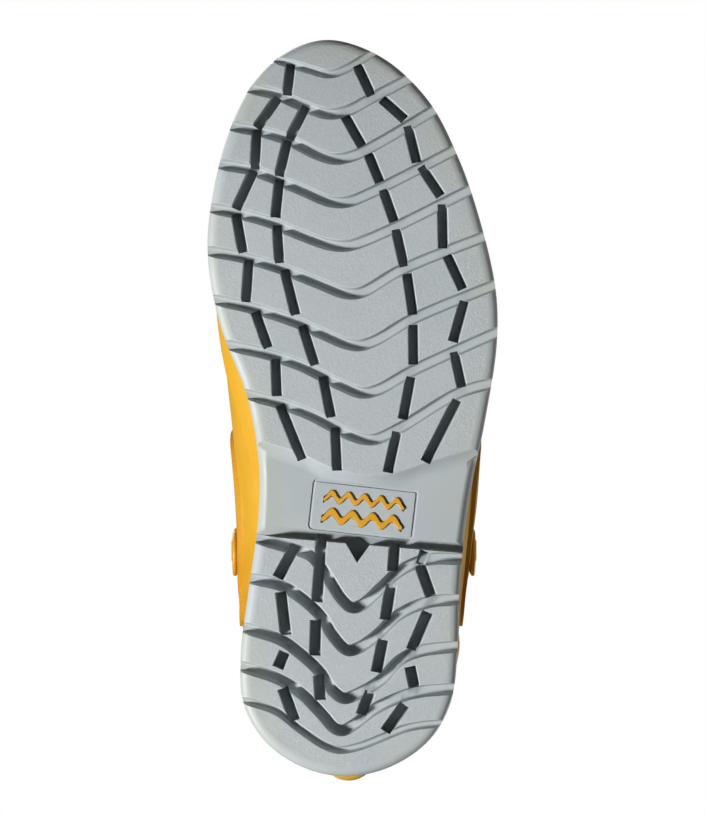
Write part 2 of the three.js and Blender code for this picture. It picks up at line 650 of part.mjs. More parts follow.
// ---------------------------------------------------------------- pull loops
// Each loop hangs flat against the leg from its top bar, which a rubber keeper holds.
const loopAxis = new THREE.Vector2(along(36.5), bootHeight - bindingHeight - 24);
const sideReach = (side, z) => {
  // how far out the leg's surface lies at the loop, at height z
  const t = THREE.MathUtils.mapLinear(z, up(307 - 10), bootHeight, topStation - 1, topStation);
  return Math.abs(upperPoint(t, side > 0 ? 0 : Math.PI).x);
};
const loopPlane = (side) => sideReach(side, loopAxis.y) + loopStandOff + loopThickness / 2;
const rod = (radius, length) => new THREE.CylinderGeometry(radius, radius, length, 12);
const placeOnSide = (geometry, side) =>
  geometry.applyMatrix4(new THREE.Matrix4().makeTranslation(side * loopPlane(side), loopAxis.x, loopAxis.y));
const eyeWidth = loopWidth - 2 * loopBand;

// A long eye of flat strap. Its round top bar turns in the keeper.
const loopSolid = (side) => {
  const radius = loopWidth / 2;
  const eyeRadius = eyeWidth / 2;
  const shape = new THREE.Shape();
  shape.moveTo(-radius, 0);
  shape.lineTo(-radius, radius - loopLength);
  shape.absarc(0, radius - loopLength, radius, Math.PI, 2 * Math.PI);
  shape.lineTo(radius, 0);
  shape.lineTo(eyeRadius, 0);
  shape.absarc(0, loopBand + eyeRadius - loopLength, eyeRadius, 0, -Math.PI, true);
  shape.lineTo(-eyeRadius, 0);
  const band = new THREE.ExtrudeGeometry(shape, { depth: loopThickness, bevelEnabled: false, curveSegments: 10 });
  band.applyMatrix4(new THREE.Matrix4().set(0, 0, 1, -loopThickness / 2, 1, 0, 0, 0, 0, 1, 0, 0, 0, 0, 0, 1));
  const bar = rod(loopThickness / 2, loopWidth);
  return Manifold.union([band, bar].map((shape) => solidFrom(placeOnSide(shape, side))));
};

// The keeper fills the top of the eye, and its root lies against the leg.
const keeperSolid = (side) => {
  const wide = eyeWidth - 2 * gap;
  const reach = loopThickness / 2 + gap + keeperWall;
  const root = 6;
  const block = new RoundedBoxGeometry(2 * reach + 2 * root, wide, keeperHeight, 2, 1.3).translate(-side * root, 0, 0);
  return solidFrom(placeOnSide(block, side))
    .subtract(upperBody(gap))
    .subtract(solidFrom(placeOnSide(rod(loopThickness / 2 + gap, loopWidth), side)));
};

// ---------------------------------------------------------------- kick-off ledge at the heel
const ledgeHeight = 11;
const ledgeLevel = 45;
const ledgeSolid = () => {
  const oval = new THREE.Shape();
  const tip = along(-50.6);
  const root = along(-36);
  oval.absellipse(across(-1), root, 13, root - tip, 0, 2 * Math.PI);
  const geometry = new THREE.ExtrudeGeometry(oval, {
    depth: ledgeHeight - 3,
    bevelThickness: 1.5,
    bevelSize: 1.5,
    bevelOffset: -1.5,
    bevelSegments: 2,
    curveSegments: 8,
  });
  return solidFrom(geometry.translate(0, 0, ledgeLevel - ledgeHeight / 2 + 1.5)).subtract(
    upperBody(2 * gap + foxingThickness),
  );
};

// ---------------------------------------------------------------- materials and assembly
const rubberYellow = new THREE.MeshStandardMaterial({ color: 0xf6b32b, roughness: 0.42, metalness: 0 });
const rubberGrey = new THREE.MeshStandardMaterial({ color: 0xb4bcbf, roughness: 0.62, metalness: 0 });
const liningCloth = new THREE.MeshStandardMaterial({ color: 0x5d6468, roughness: 0.95, metalness: 0 });
const boardFibre = new THREE.MeshStandardMaterial({ color: 0xc9b48f, roughness: 0.9, metalness: 0 });
const foamGrey = new THREE.MeshStandardMaterial({ color: 0x3c4245, roughness: 0.9, metalness: 0 });
const coverCloth = new THREE.MeshStandardMaterial({ color: 0x8a9194, roughness: 0.95, metalness: 0 });
const shankSteel = new THREE.MeshStandardMaterial({ color: 0x9a9fa3, roughness: 0.35, metalness: 1 });

const boot = new THREE.Group();
const addPiece = (name, solid, material) => {
  const mesh = new THREE.Mesh(geometryFrom(solid), material);
  mesh.name = name;
  boot.add(mesh);
  return mesh;
};

addPiece("outsole", outsoleSolid(), rubberGrey);
for (const [name, row] of Object.entries(waveRows))
  addPiece(name, waveSolid(row, 0, -markProud, markBed), rubberYellow);

addPiece("heel_filler", heelPrism(gap).subtract(upperBody(gap)).subtract(shankSlot()), foamGrey);
addPiece("forefoot_filler", forefootPrism(gap, forefootFillerWall + gap).subtract(upperBody(gap)), foamGrey);
addPiece("shank", underUpper(shankPlan(0), shankWall + gap).subtract(upperBody(gap)), shankSteel);

addPiece("foot_shell", footShell(), rubberYellow);
addPiece("leg_shell", legShell(), rubberYellow);
addPiece("foxing_strip", foxing(), rubberYellow);
addPiece("toe_cap", overlay(toeCapRegion()), rubberYellow);
addPiece("heel_counter", overlay(heelCounterRegion()), rubberYellow);
addPiece("back_strip", overlay(backStripRegion()), rubberYellow);
addPiece("instep_patch", overlay(instepRegion()), rubberYellow);
addPiece("ankle_patch_medial", anklePatch(1), rubberYellow);
addPiece("ankle_patch_lateral", anklePatch(-1), rubberYellow);
addPiece("top_band", overlay(topBandRegion()), rubberYellow);
addPiece("top_binding", bindingSolid(), rubberYellow);
addPiece("lining", liningSolid(), liningCloth);
addPiece("insole_board", footPlate(boardOuter, boardWall, boardLip), boardFibre);
addPiece("footbed_foam", footPlate(foamOuter, foamWall, footbedLip), foamGrey);
addPiece("footbed_cover", footPlate(coverOuter, coverWall, footbedLip), coverCloth);
addPiece("kick_off_ledge", ledgeSolid(), rubberYellow);
for (const [side, name] of [[1, "medial"], [-1, "lateral"]]) {
  addPiece(`pull_loop_${name}`, loopSolid(side), rubberYellow);
  addPiece(`loop_keeper_${name}`, keeperSolid(side), rubberYellow);
}

export default boot;
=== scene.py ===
# %% [markdown]
# # A rubber deck boot
# A left sailing boot: a grey moulded sole with a deep siped tread, a yellow dipped-rubber foot and
# leg, a knitted lining, a lift-out footbed and two pull loops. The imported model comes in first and
# stays as the fixed frame. Every finer piece made here stands for one of its solids.

# %% Load the frame
import json
import math

import bpy
import numpy as np
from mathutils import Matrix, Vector

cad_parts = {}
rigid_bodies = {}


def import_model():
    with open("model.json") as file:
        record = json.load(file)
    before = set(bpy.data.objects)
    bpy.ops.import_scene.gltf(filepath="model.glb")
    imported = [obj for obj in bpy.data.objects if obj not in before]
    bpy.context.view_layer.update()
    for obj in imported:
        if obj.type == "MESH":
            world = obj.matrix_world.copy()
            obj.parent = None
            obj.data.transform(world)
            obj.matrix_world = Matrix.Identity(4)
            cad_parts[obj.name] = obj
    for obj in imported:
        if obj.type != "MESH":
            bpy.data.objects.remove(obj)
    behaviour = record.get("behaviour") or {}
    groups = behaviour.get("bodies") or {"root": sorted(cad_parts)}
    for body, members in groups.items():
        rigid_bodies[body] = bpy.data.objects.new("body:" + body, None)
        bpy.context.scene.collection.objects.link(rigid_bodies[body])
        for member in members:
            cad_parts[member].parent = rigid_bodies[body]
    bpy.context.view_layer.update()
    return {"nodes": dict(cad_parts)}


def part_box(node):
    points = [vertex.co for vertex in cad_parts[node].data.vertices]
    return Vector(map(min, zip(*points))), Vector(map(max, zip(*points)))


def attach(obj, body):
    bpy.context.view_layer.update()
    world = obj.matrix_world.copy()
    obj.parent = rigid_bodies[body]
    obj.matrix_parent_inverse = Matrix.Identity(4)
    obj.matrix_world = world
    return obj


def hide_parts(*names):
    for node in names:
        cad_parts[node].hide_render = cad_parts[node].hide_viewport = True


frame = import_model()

nodes = frame["nodes"]
MM = 0.001
SAME_PLACE = 2e-7  # metres; corners closer than this are one corner

# %% [markdown]
# ## Camera, light and floor
# The sole is the face that a buyer looks at, so the camera stands straight under the boot with the
# toe at the top of the view. A long lens keeps the leg, which runs away from the camera, hidden
# behind the sole except where it bulges past it.

# %% The camera under the sole
camera_height = 1.7  # metres below the floor plane
seen_height = 0.3304  # metres of the sole plane in the view's long side
lens_axis = (-0.0028, 0.1044)
camera_data = bpy.data.cameras.new("sole_camera")
camera_data.sensor_width = 36
camera_data.lens = 36 * camera_height / seen_height
camera = bpy.data.objects.new("sole_camera", camera_data)
camera.location = (*lens_axis, -camera_height)
camera.rotation_euler = (0, math.pi, 0)
bpy.context.scene.collection.objects.link(camera)
bpy.context.scene.camera = camera
camera_data.clip_end = 50
bpy.context.scene.view_settings.view_transform = "Standard"
print("lens", round(camera_data.lens, 1), "mm")

# %% [markdown]
# One small function adds a node: an input that is given another node's output is joined to it, one that
# is given a number or a colour is set, and a colour ramp gets its stops. Each material below then reads
# as a list of what it is made of. Colours are written as sRGB hex values, as a paint chart has them,
# and one function turns them to the linear values that the renderer works in.


# %% Two helpers for materials
def linear(code, alpha=1.0):
    parts = [int(code[i : i + 2], 16) / 255 for i in (1, 3, 5)]
    return [p / 12.92 if p <= 0.04045 else ((p + 0.055) / 1.055) ** 2.4 for p in parts] + [alpha]


def node(tree, kind, inputs=(), stops=(), **settings):
    made = tree.nodes.new("ShaderNode" + kind)
    for name, value in settings.items():
        setattr(made, name, value)
    for name, value in dict(inputs).items():
        if isinstance(value, bpy.types.NodeSocket):
            tree.links.new(value, made.inputs[name])
        else:
            made.inputs[name].default_value = value
    for spare in stops[2:]:
        made.color_ramp.elements.new(spare[0])
    for i, (at, code) in enumerate(stops):
        made.color_ramp.elements[i].position = at
        made.color_ramp.elements[i].color = linear(code)
    return made


# %% [markdown]
# The boot is shown in a plain white studio. The world is white where the camera sees it and dim as
# a light, so the tread's slots stay dark. The key light comes low across the sole from the arch side
# and a little from the heel, which draws every groove wall. A weak one skims the lateral edge.

# %% World and lights
world = bpy.data.worlds.new("studio")
bpy.context.scene.world = world
world.use_nodes = True
sky = world.node_tree
sky.nodes.clear()
white_sight, dim_glow = 1.0, 0.03  # strengths: what the camera sees, and what lights the boot
seen = node(sky, "LightPath").outputs["Is Camera Ray"]
dim = node(sky, "Background", {"Color": linear("#F2F4F7"), "Strength": dim_glow}).outputs[0]
white = node(sky, "Background", {"Color": (1, 1, 1, 1), "Strength": white_sight}).outputs[0]
chosen = node(sky, "MixShader", {0: seen, 1: dim, 2: white}).outputs[0]
node(sky, "OutputWorld", {"Surface": chosen})

boot_middle = Vector((0, 0.1, 0.02))


def soft_light(name, direction, distance, size, power):
    data = bpy.data.lights.new(name, "AREA")
    data.shape, data.size, data.energy = "DISK", size, power
    lamp = bpy.data.objects.new(name, data)
    way = Vector(direction).normalized()
    lamp.location = boot_middle + way * distance
    lamp.rotation_mode = "QUATERNION"
    lamp.rotation_quaternion = way.to_track_quat("Z", "Y")
    lamp.visible_camera = False
    bpy.context.scene.collection.objects.link(lamp)
    return lamp


key_turn, key_rise = math.radians(20), math.radians(37)
key_from = (
    math.cos(key_turn) * math.cos(key_rise),
    -math.sin(key_turn) * math.cos(key_rise),
    -math.sin(key_rise),
)
soft_light("key", key_from, distance=2.2, size=0.3, power=70)
edge_from = (-1, 0.25, -0.14)  # low over the lateral edge, so that it stays out of the grooves
soft_light("lateral_edge", edge_from, distance=1.6, size=0.5, power=5)
soft_light("sole_fill", (-0.1, 0.25, -1), distance=2.4, size=1.6, power=0.5)
soft_light("upper_front", (0.7, 0.9, 1.1), distance=1.8, size=1.0, power=22)
soft_light("upper_back", (-0.9, -0.7, 0.9), distance=1.8, size=1.0, power=14)

# %% [markdown]
# The boot stands on a pale floor. The floor is one-sided: from above it is a matt surface that takes
# a contact shadow, and from below it is clear, so that the sole can be seen and lit through it.

# %% Floor
bpy.ops.object.select_all(action="DESELECT")
bpy.ops.mesh.primitive_plane_add(size=6, location=(0, 0.1, 0))
floor = bpy.context.object
floor.name = "floor"
bpy.ops.object.transform_apply(location=True, rotation=False, scale=False)
paper = bpy.data.materials.new("pale_paper")
paper.use_nodes = True
tree = paper.node_tree
tree.nodes.clear()
below_side = node(tree, "NewGeometry").outputs["Backfacing"]
matt = node(tree, "BsdfDiffuse", {"Color": linear("#E4E5E7"), "Roughness": 0.9}).outputs[0]
clear = node(tree, "BsdfTransparent").outputs[0]
one_sided = node(tree, "MixShader", {0: below_side, 1: matt, 2: clear}).outputs[0]
node(tree, "OutputMaterial", {"Surface": one_sided})
floor.data.materials.append(paper)
for ray in ("shadow", "diffuse", "glossy", "transmission"):
    setattr(floor, "visible_" + ray, False)

# %% [markdown]
# ## Shaping helpers
# A loft is a plain grid whose rows are set on the sections of the piece, rolled into a tube and
# closed at its ends. It serves for the sole's cutters and for the foot alike, because both are a
# section carried along a line. Sections are in millimetres.


# %% A grid rolled into a closed solid
def start_clean():
    if bpy.context.mode != "OBJECT":
        bpy.ops.object.mode_set(mode="OBJECT")
    bpy.ops.object.select_all(action="DESELECT")


def rolled(name, sections, joined=False):
    sections = np.asarray(sections, float)
    if joined:
        sections = np.concatenate([sections, sections[:1]])
    rows, across, _ = sections.shape
    start_clean()
    bpy.ops.mesh.primitive_grid_add(x_subdivisions=across, y_subdivisions=rows - 1, size=1)
    piece = bpy.context.object
    piece.name = name
    wrapped = np.concatenate([sections, sections[:, :1]], axis=1) * MM
    piece.data.vertices.foreach_set("co", wrapped.ravel())
    bpy.ops.object.mode_set(mode="EDIT")
    bpy.ops.mesh.select_all(action="SELECT")
    bpy.ops.mesh.remove_doubles(threshold=SAME_PLACE)
    bpy.ops.mesh.select_all(action="SELECT")
    bpy.ops.mesh.fill_holes(sides=0)
    bpy.ops.mesh.select_all(action="SELECT")
    bpy.ops.mesh.normals_make_consistent(inside=False)
    bpy.ops.object.mode_set(mode="OBJECT")
    return piece


# %% [markdown]
# A flat outline pulled up into a block makes the sole and every trimming tool. It starts as a filled
# circle with as many corners as the outline, each corner is set in place, and the face is extruded.


# %% An outline extruded into a block
def block(name, corners, pull):
    corners = np.asarray(corners, float)
    start_clean()
    bpy.ops.mesh.primitive_circle_add(vertices=len(corners), radius=1, fill_type="NGON")
    piece = bpy.context.object
    piece.name = name
    piece.data.vertices.foreach_set("co", (corners * MM).ravel())
    bpy.ops.object.mode_set(mode="EDIT")
    bpy.ops.mesh.select_all(action="SELECT")
    bpy.ops.mesh.extrude_region_move(TRANSFORM_OT_translate={"value": Vector(pull) * MM})
    bpy.ops.mesh.select_all(action="SELECT")
    bpy.ops.mesh.normals_make_consistent(inside=False)
    bpy.ops.object.mode_set(mode="OBJECT")
    return piece


def side_slab(name, outline, half=200):
    """A slab across the boot with a side outline of (y, z) points."""
    return block(name, [(-half, y, z) for y, z in outline], (2 * half, 0, 0))


def cut(piece, tool, how="DIFFERENCE", keep=False):
    change = piece.modifiers.new("cut", "BOOLEAN")
    change.operation, change.solver, change.object = how, "MANIFOLD", tool
    start_clean()
    bpy.context.view_layer.objects.active = piece
    piece.select_set(True)
    bpy.ops.object.modifier_apply(modifier=change.name)
    if not keep:
        bpy.data.objects.remove(tool, do_unlink=True)
    return piece


def copy_of(source, name):
    twin = source.copy()
    twin.data = source.data.copy()
    twin.name = name
    bpy.context.scene.collection.objects.link(twin)
    return twin


def smooth(piece, degrees=35):
    start_clean()
    bpy.context.view_layer.objects.active = piece
    piece.select_set(True)
    bpy.ops.object.shade_smooth_by_angle(angle=math.radians(degrees))
    even = piece.modifiers.new("even", "WEIGHTED_NORMAL")
    even.keep_sharp = True
    bpy.ops.object.modifier_apply(modifier=even.name)


# %% [markdown]
# The smooth lines through a few listed points are centripetal Catmull-Rom curves: they pass through
# every point and never overshoot between close ones.


# %% Smooth lines through points
def through(points, samples, closed=False):
    points = np.asarray(points, float)
    count = len(points)
    if closed:
        padded = np.concatenate([points[-1:], points, points[:2]])
        spans = count
    else:
        padded = np.concatenate([2 * points[:1] - points[1:2], points, 2 * points[-1:] - points[-2:-1]])
        spans = count - 1
    made = []
    for i in range(samples):
        at = i / samples * spans if closed else i / (samples - 1) * spans
        k = min(int(at), spans - 1)
        f = at - k
        a, b, c, d = padded[k : k + 4]
        ta, tb, tc = (max(np.linalg.norm(q - p), 1e-6) ** 0.5 for p, q in ((a, b), (b, c), (c, d)))
        m1 = (b - a) / ta - (c - a) / (ta + tb) + (c - b) / tb
        m2 = (c - b) / tb - (d - b) / (tb + tc) + (d - c) / tc
        m1, m2 = m1 * tb, m2 * tb
        made.append(
            b + m1 * f + (3 * (c - b) - 2 * m1 - m2) * f**2 + (2 * (b - c) + m1 + m2) * f**3
        )
    return np.array(made)


def sideways(line, closed=False):
    """The left-hand direction at each point of a plan line."""
    if closed:
        run = np.roll(line, -1, 0) - np.roll(line, 1, 0)
    else:
        run = np.gradient(line, axis=0)
    run = run / np.linalg.norm(run, axis=1, keepdims=True)
    return np.stack([-run[:, 1], run[:, 0]], axis=1)


# %% [markdown]
# ## The sole
# The real sole is compression-moulded rubber. Its outline is a foot shape with a narrow waist, its
# pads are stippled where the mould was etched, and its edge is rolled so that it doesn't catch.

# %% The sole's outline in plan
sole_plan = [
    (7.3, 254.6), (24.7, 249.2), (38, 236.5), (48.2, 215), (55, 186), (56.2, 166), (51.5, 139),
    (40, 108), (35.6, 82), (35.9, 58), (39.6, 30), (42.8, 4), (41.6, -16), (33, -31), (18, -41.5),
    (0, -45.4), (-18, -41.5), (-34, -30.5), (-42.6, -15), (-45.3, 6), (-46.3, 34), (-50.3, 68),
    (-56.6, 100), (-61.2, 130), (-60.8, 152), (-54.2, 181), (-45.2, 207), (-33, 230), (-14, 247.6),
]
sole_line = through(sole_plan, 232, closed=True)
toe_tip, heel_end = sole_line[:, 1].max(), sole_line[:, 1].min()
print("sole", round(toe_tip - heel_end, 1), "mm long,", round(np.ptp(sole_line[:, 0]), 1), "mm wide")

# %% [markdown]
# The block starts at the top and its lower face is pulled down in steps. Each last step is an inset
# and a small drop, which rolls the edge over a few millimetres.

# %% The sole's block with a rolled edge
spring_start, spring_end, spring_rise = 176, sole_plan[0][1], 10


def spring(y):
    ahead = np.clip((y - spring_start) / (spring_end - spring_start), 0, None)
    return spring_rise * ahead**2


roll_steps = [(0.25, 1.15), (0.75, 1.0), (1.3, 0.6), (1.9, 0.25)]  # inset and drop, mm
sole = block("outsole_moulding", np.c_[sole_line, np.full(len(sole_line), 60.0)], (0, 0, -57.0))
bpy.ops.object.mode_set(mode="EDIT")
bpy.ops.mesh.select_mode(type="FACE")
bpy.ops.mesh.select_all(action="DESELECT")
bpy.ops.object.mode_set(mode="OBJECT")
for face in sole.data.polygons:
    face.select = face.normal.z < -0.9
bpy.ops.object.mode_set(mode="EDIT")
for inset, drop in roll_steps:
    bpy.ops.mesh.inset(thickness=inset * MM, use_even_offset=True)
    bpy.ops.transform.translate(value=(0, 0, -drop * MM))
for y in np.arange(spring_start, spring_end, 4.0):
    bpy.ops.mesh.select_all(action="SELECT")
    bpy.ops.mesh.bisect(plane_co=(0, y * MM, 0), plane_no=(0, 1, 0))
bpy.ops.object.mode_set(mode="OBJECT")
for corner in sole.data.vertices:
    if corner.co.z < 0.03:
        corner.co.z += spring(corner.co.y / MM) * MM
print("sole block", len(sole.data.polygons), "faces")

# %% [markdown]
# A groove is cut by a bar that runs along its line. The bar's section flares at the tread face, which
# leaves a fine rounded lip on the pads, leans in by a degree or two for the mould to let go, and has
# filleted corners at its floor.


# %% Cutting bars for the grooves and slots
def bar_section(width, depth, lip=0.45, lean=0.5, fillet=0.9):
    half = width / 2
    floor_half = half - lean
    right = [(half + lip + 0.5, -1.2), (half + lip, -0.02), (half + lip * 0.35, 0.16), (half, 0.5)]
    for turn in np.radians([0, 30, 60, 90]):
        x = floor_half - fillet + fillet * math.cos(turn)
        right.append((x, depth - fillet + fillet * math.sin(turn)))
    return right + [(-x, z) for x, z in reversed(right)]


def bar(name, points, width, depth, step=1.6, **shape):
    points = np.asarray(points, float)
    length = np.linalg.norm(np.diff(points, axis=0), axis=1).sum()
    line = through(points, max(int(length / step), 2)) if len(points) > 2 else points
    section = bar_section(width, depth, **shape)
    sections = []
    for (x, y), (nx, ny) in zip(line, sideways(line)):
        sections.append([(x + nx * s, y + ny * s, z + spring(y + ny * s)) for s, z in section])
    return rolled(name, sections)


# %% [markdown]
# The forefoot has nine cross grooves, bowed back at the middle, and rows of short slots between them.
# The slots are cut a little deeper than the grooves, so they look black from straight on, and painted shade
# on their floors darkens them more.

# %% Forefoot grooves
forefoot_grooves = [
    [(34, 248), (26, 245.4), (16, 242.5), (7.5, 240.2), (1.5, 241.6), (-14, 251)],
    [(46, 235.5), (29, 232), (18.5, 227.5), (7.3, 223.8), (-0.5, 225), (-10, 230), (-29, 240)],
    [(54, 220), (34, 216.4), (22.7, 212.8), (12.5, 207.6), (4.5, 205.3), (-2.5, 206.5), (-10, 210),
     (-42, 229)],
    [(57, 204), (39, 201), (28.8, 197.3), (18.6, 193), (6.5, 188), (-0.5, 187.8), (-9, 191), (-50, 212)],
    [(59, 186), (43, 183), (31, 179.6), (18.6, 174.6), (6.5, 170.4), (-0.5, 170), (-9, 172.6),
     (-56, 195.5)],
    [(60, 168.4), (43, 165.6), (26.8, 161), (10.5, 154.6), (0.4, 150.8), (-6, 151), (-22, 160), (-62, 176)],
    [(58, 149), (39, 145), (22.7, 140), (10.5, 134.8), (0.4, 130.5), (-5.6, 129.6), (-12, 131.6),
     (-26, 139.8), (-65, 156)],
    [(52, 130.4), (33, 126.4), (18.6, 121.6), (4.5, 114.7), (-6.5, 110.4), (-13, 111.6), (-26, 118.8),
     (-65, 136.6)],
    [(45, 110.8), (27, 106.2), (14.6, 101.6), (2.4, 95.2), (-6.5, 91.8), (-12, 91.6), (-22, 96.2),
     (-46, 110.4), (-64, 115.4)],
]
groove_wide, groove_deep = 4.4, 3.8
toe_groove_wide, toe_groove_deep = 3.4, 2.6
cut(sole, bar("groove", forefoot_grooves[0], toe_groove_wide, toe_groove_deep))
for line in forefoot_grooves[1:]:
    cut(sole, bar("groove", line, groove_wide, groove_deep))
print("forefoot grooves:", len(forefoot_grooves))

# %% [markdown]
# Four rows of short slots run down the forefoot. Each is a straight bar, and most of them reach from
# one groove to the next, so that water pressed out of the pads can leave.

# %% Forefoot slots
forefoot_slots = [
    [(22.5, 244.5), (24, 231.5)], [(-4.5, 244), (-10.3, 231.4)], [(27.6, 230.5), (36.2, 218)],
    [(16.2, 227), (23, 213.5)], [(0.4, 223), (-6.6, 210.5)], [(-14.6, 230), (-24, 221.5)],
    [(36.2, 217.5), (37, 201.2)], [(23.7, 213), (27.2, 198.3)], [(-9, 207.5), (-13.8, 195.8)],
    [(-25, 219), (-28.8, 203.8)], [(37.4, 200.6), (44.6, 184.8)], [(27, 197.2), (28.6, 181.4)],
    [(-15, 193), (-19.6, 179.8)], [(-30.4, 202.4), (-38.5, 190.2)], [(44.6, 183), (41.8, 167.2)],
    [(28, 178.4), (27, 163)], [(-20.2, 176.8), (-23.6, 161.6)], [(-39, 187), (-39.4, 169)],
    [(39.4, 164.3), (40.6, 147.2)], [(25, 160.4), (20.4, 142)], [(-24.8, 158.7), (-27.2, 142)],
    [(-41, 166.2), (-47.4, 152.4)], [(36.8, 143.3), (31.6, 128.6)], [(17.8, 137.8), (12.6, 121.6)],
    [(-27.2, 138), (-27.4, 121.8)], [(-48, 147.6), (-43.4, 131)], [(28.6, 124), (28, 109)],
    [(9.4, 117), (6, 100.4)], [(-26.3, 116.8), (-23.1, 99.6)], [(-43.8, 127), (-47, 112.6)],
    [(26.8, 105.6), (17.8, 83.2)], [(4.4, 96.2), (3.6, 78.8)], [(-20.6, 94.6), (-17, 78)],
    [(-45, 107.4), (-32.2, 82.2)],
]
slot_wide, slot_deep = 4.1, 6.6
for line in forefoot_slots:
    cut(sole, bar("slot", line, slot_wide, slot_deep, lip=0.3, lean=0.35))
print("forefoot slots:", len(forefoot_slots))

# %% [markdown]
# The heel's chevrons are tighter, so that the boot brakes on a wet deck. A wedge-shaped notch opens
# the breast, the wall where the heel block steps down from the waist.

# %% Heel grooves and slots
heel_grooves = [
    [(42, 52.8), (24, 48), (14, 44.2), (8, 36.5), (1.5, 26.6), (-2.5, 23.4), (-6.5, 24.4), (-14, 31),
     (-22, 38.2), (-33, 42.8), (-52, 42.6)],
    [(46, 36), (27, 32.6), (18.6, 27.6), (10.5, 20.3), (5.4, 12.2), (-0.4, 6.2), (-4.4, 6.6),
     (-12, 11.6), (-21.8, 20.6), (-34, 25.6), (-52, 26.6)],
    [(49, 17), (27, 10.6), (18.6, 4.8), (10.5, -2.8), (5, -10.6), (0.6, -13.4), (-5, -11.6),
     (-13.8, -6.4), (-22, 2), (-30, 5.6), (-52, 8)],
    [(49, 1), (28.6, -5), (18.6, -11), (10.5, -19), (4.4, -25.6), (1, -26.4), (-3.6, -24),
     (-11.8, -17.8), (-22, -13), (-30, -10.8), (-50, -9.4)],
    [(46, -13.4), (28.8, -18.4), (18.6, -26), (8.6, -32.6), (2.4, -34.4), (-5.6, -33), (-15.8, -29),
     (-26, -25.2), (-46, -23)],
]
heel_slots = [
    [(20.4, 48.5), (27.6, 35.2)], [(9.8, 53), (11.8, 25.5)], [(-19.8, 49), (-19, 38)],
    [(-32.4, 46), (-30, 40.4)], [(-30, 40.4), (-34.6, 27.6)], [(-18.2, 32.4), (-16, 18.2)],
    [(26.4, 29.6), (24.4, 12.2)], [(12.2, 18.2), (12.6, 3.8)], [(-15, 10.2), (-12.4, -3)],
    [(-33.2, 21.4), (-26.6, 6)], [(24.8, 5.2), (27.6, -1.2)], [(11, -4.2), (10.4, -14.2)],
    [(-9.6, -11), (-6.2, -20.4)], [(-26, -0.6), (-27.8, -9.4)], [(25.6, -9.4), (20.8, -22.6)],
    [(-23.8, -16.2), (-16, -27.2)],
]
heel_groove_wide, heel_groove_deep = 4.6, 6.0
end_groove_wide, end_groove_deep = 3.0, 3.8
heel_slot_wide, heel_slot_deep = 4.6, 7.0
for line in heel_grooves[:-1]:
    cut(sole, bar("groove", line, heel_groove_wide, heel_groove_deep))
cut(sole, bar("groove", heel_grooves[-1], end_groove_wide, end_groove_deep))
for line in heel_slots:
    cut(sole, bar("slot", line, heel_slot_wide, heel_slot_deep, lip=0.3, lean=0.35))
notch, notch_pull = [(0.4, 49.6), (-4.4, 41.4), (-9.8, 48.8), (-5, 52)], 8.0
cut(sole, block("notch", [(x, y, -1) for x, y in notch], (0, 0, notch_pull)))
print("heel grooves:", len(heel_grooves), "slots:", len(heel_slots))

# %% [markdown]
# The waist is a smooth hollow between the heel and the forefoot. It lies deeper towards the heel, its
# front edge slopes out of the last pads, and both its long edges are bevelled.

# %% The hollow waist
breast_line = [(60, 55), (36, 52.4), (-46, 45.4), (-70, 43.4)]
forefoot_end = [
    (60, 95), (34.8, 91.2), (18.6, 86.3), (6.5, 80.7), (-8, 77.6),
    (-20, 78.2), (-32, 82), (-53.5, 88.4), (-70, 92),
]
front_edge = through(forefoot_end, 60)
rear_edge = through(breast_line, 30)[::-1]
panel_front, panel_rear = (82, 3.4), (49, 6.2)  # y and height of the panel at its two ends


def panel_height(y):
    (front_y, low), (rear_y, high) = panel_front, panel_rear
    return low + (front_y - y) / (front_y - rear_y) * (high - low)


def waist_level(front_back, share, breast_shift):
    ring = []
    for x, y in front_edge:
        ring.append((x, y - front_back, panel_height(y - front_back) * share))
    for x, y in rear_edge:
        ring.append((x, y + breast_shift, panel_height(y + breast_shift) * share))
    return ring


waist_sections = [
    [(x, y, -1) for x, y in front_edge] + [(x, y, -1) for x, y in rear_edge],
    [(x, y - 0.2, 0.02) for x, y in front_edge] + [(x, y, 0.02) for x, y in rear_edge],
    waist_level(1.4, 0.35, 0.06),
    waist_level(3.2, 0.72, 0.14),
    waist_level(5.2, 0.94, 0.22),
    waist_level(7.2, 1.0, 0.45),
]
cut(sole, rolled("waist", waist_sections))


def edge_bevel(name, side):
    along = sole_line[:, 1]
    inside = sole_line[(sole_line[:, 0] * side > 0) & (along > 30) & (along < 112)]
    inside = inside[np.argsort(inside[:, 1])]
    low, high = (51.5, 90) if side > 0 else (46.5, 86)
    fade = 3  # mm over which a bevel runs out at its ends
    ys = np.linspace(low, high, 24)
    xs = np.interp(ys, inside[:, 1], inside[:, 0])
    sections = []
    for x, y in zip(xs, ys):
        z = panel_height(min(y, 84))
        shape = [(3.6, -1.6), (3.6, -0.01), (2.5, 0.2), (1.2, 1.1), (0.3, 2.7), (-1.0, 5.2), (-2, -1.6)]
        share = min(1, 0.05 + min(y - low, high - y) / fade)
        sections.append([(x + side * (2 - (s + 2) * share), y, z + h) for s, h in shape])
    return rolled(name, sections)


for side in (1, -1):
    cut(sole, edge_bevel("bevel", side))
print("waist", panel_front[1], "to", panel_rear[1], "mm above the floor")

# %% [markdown]
# A framed badge is moulded into the waist: a thin engraved rectangle round two raised wave lines,
# set a few degrees off square like the breast of the heel.

# %% Badge frame and wave beds
badge_centre, badge_turn = (-6.9, 62.8), math.radians(6.5)


def badge_place(u, v):
    return (
        badge_centre[0] - u * math.cos(badge_turn) + v * math.sin(badge_turn),
        badge_centre[1] - u * math.sin(badge_turn) - v * math.cos(badge_turn),
    )


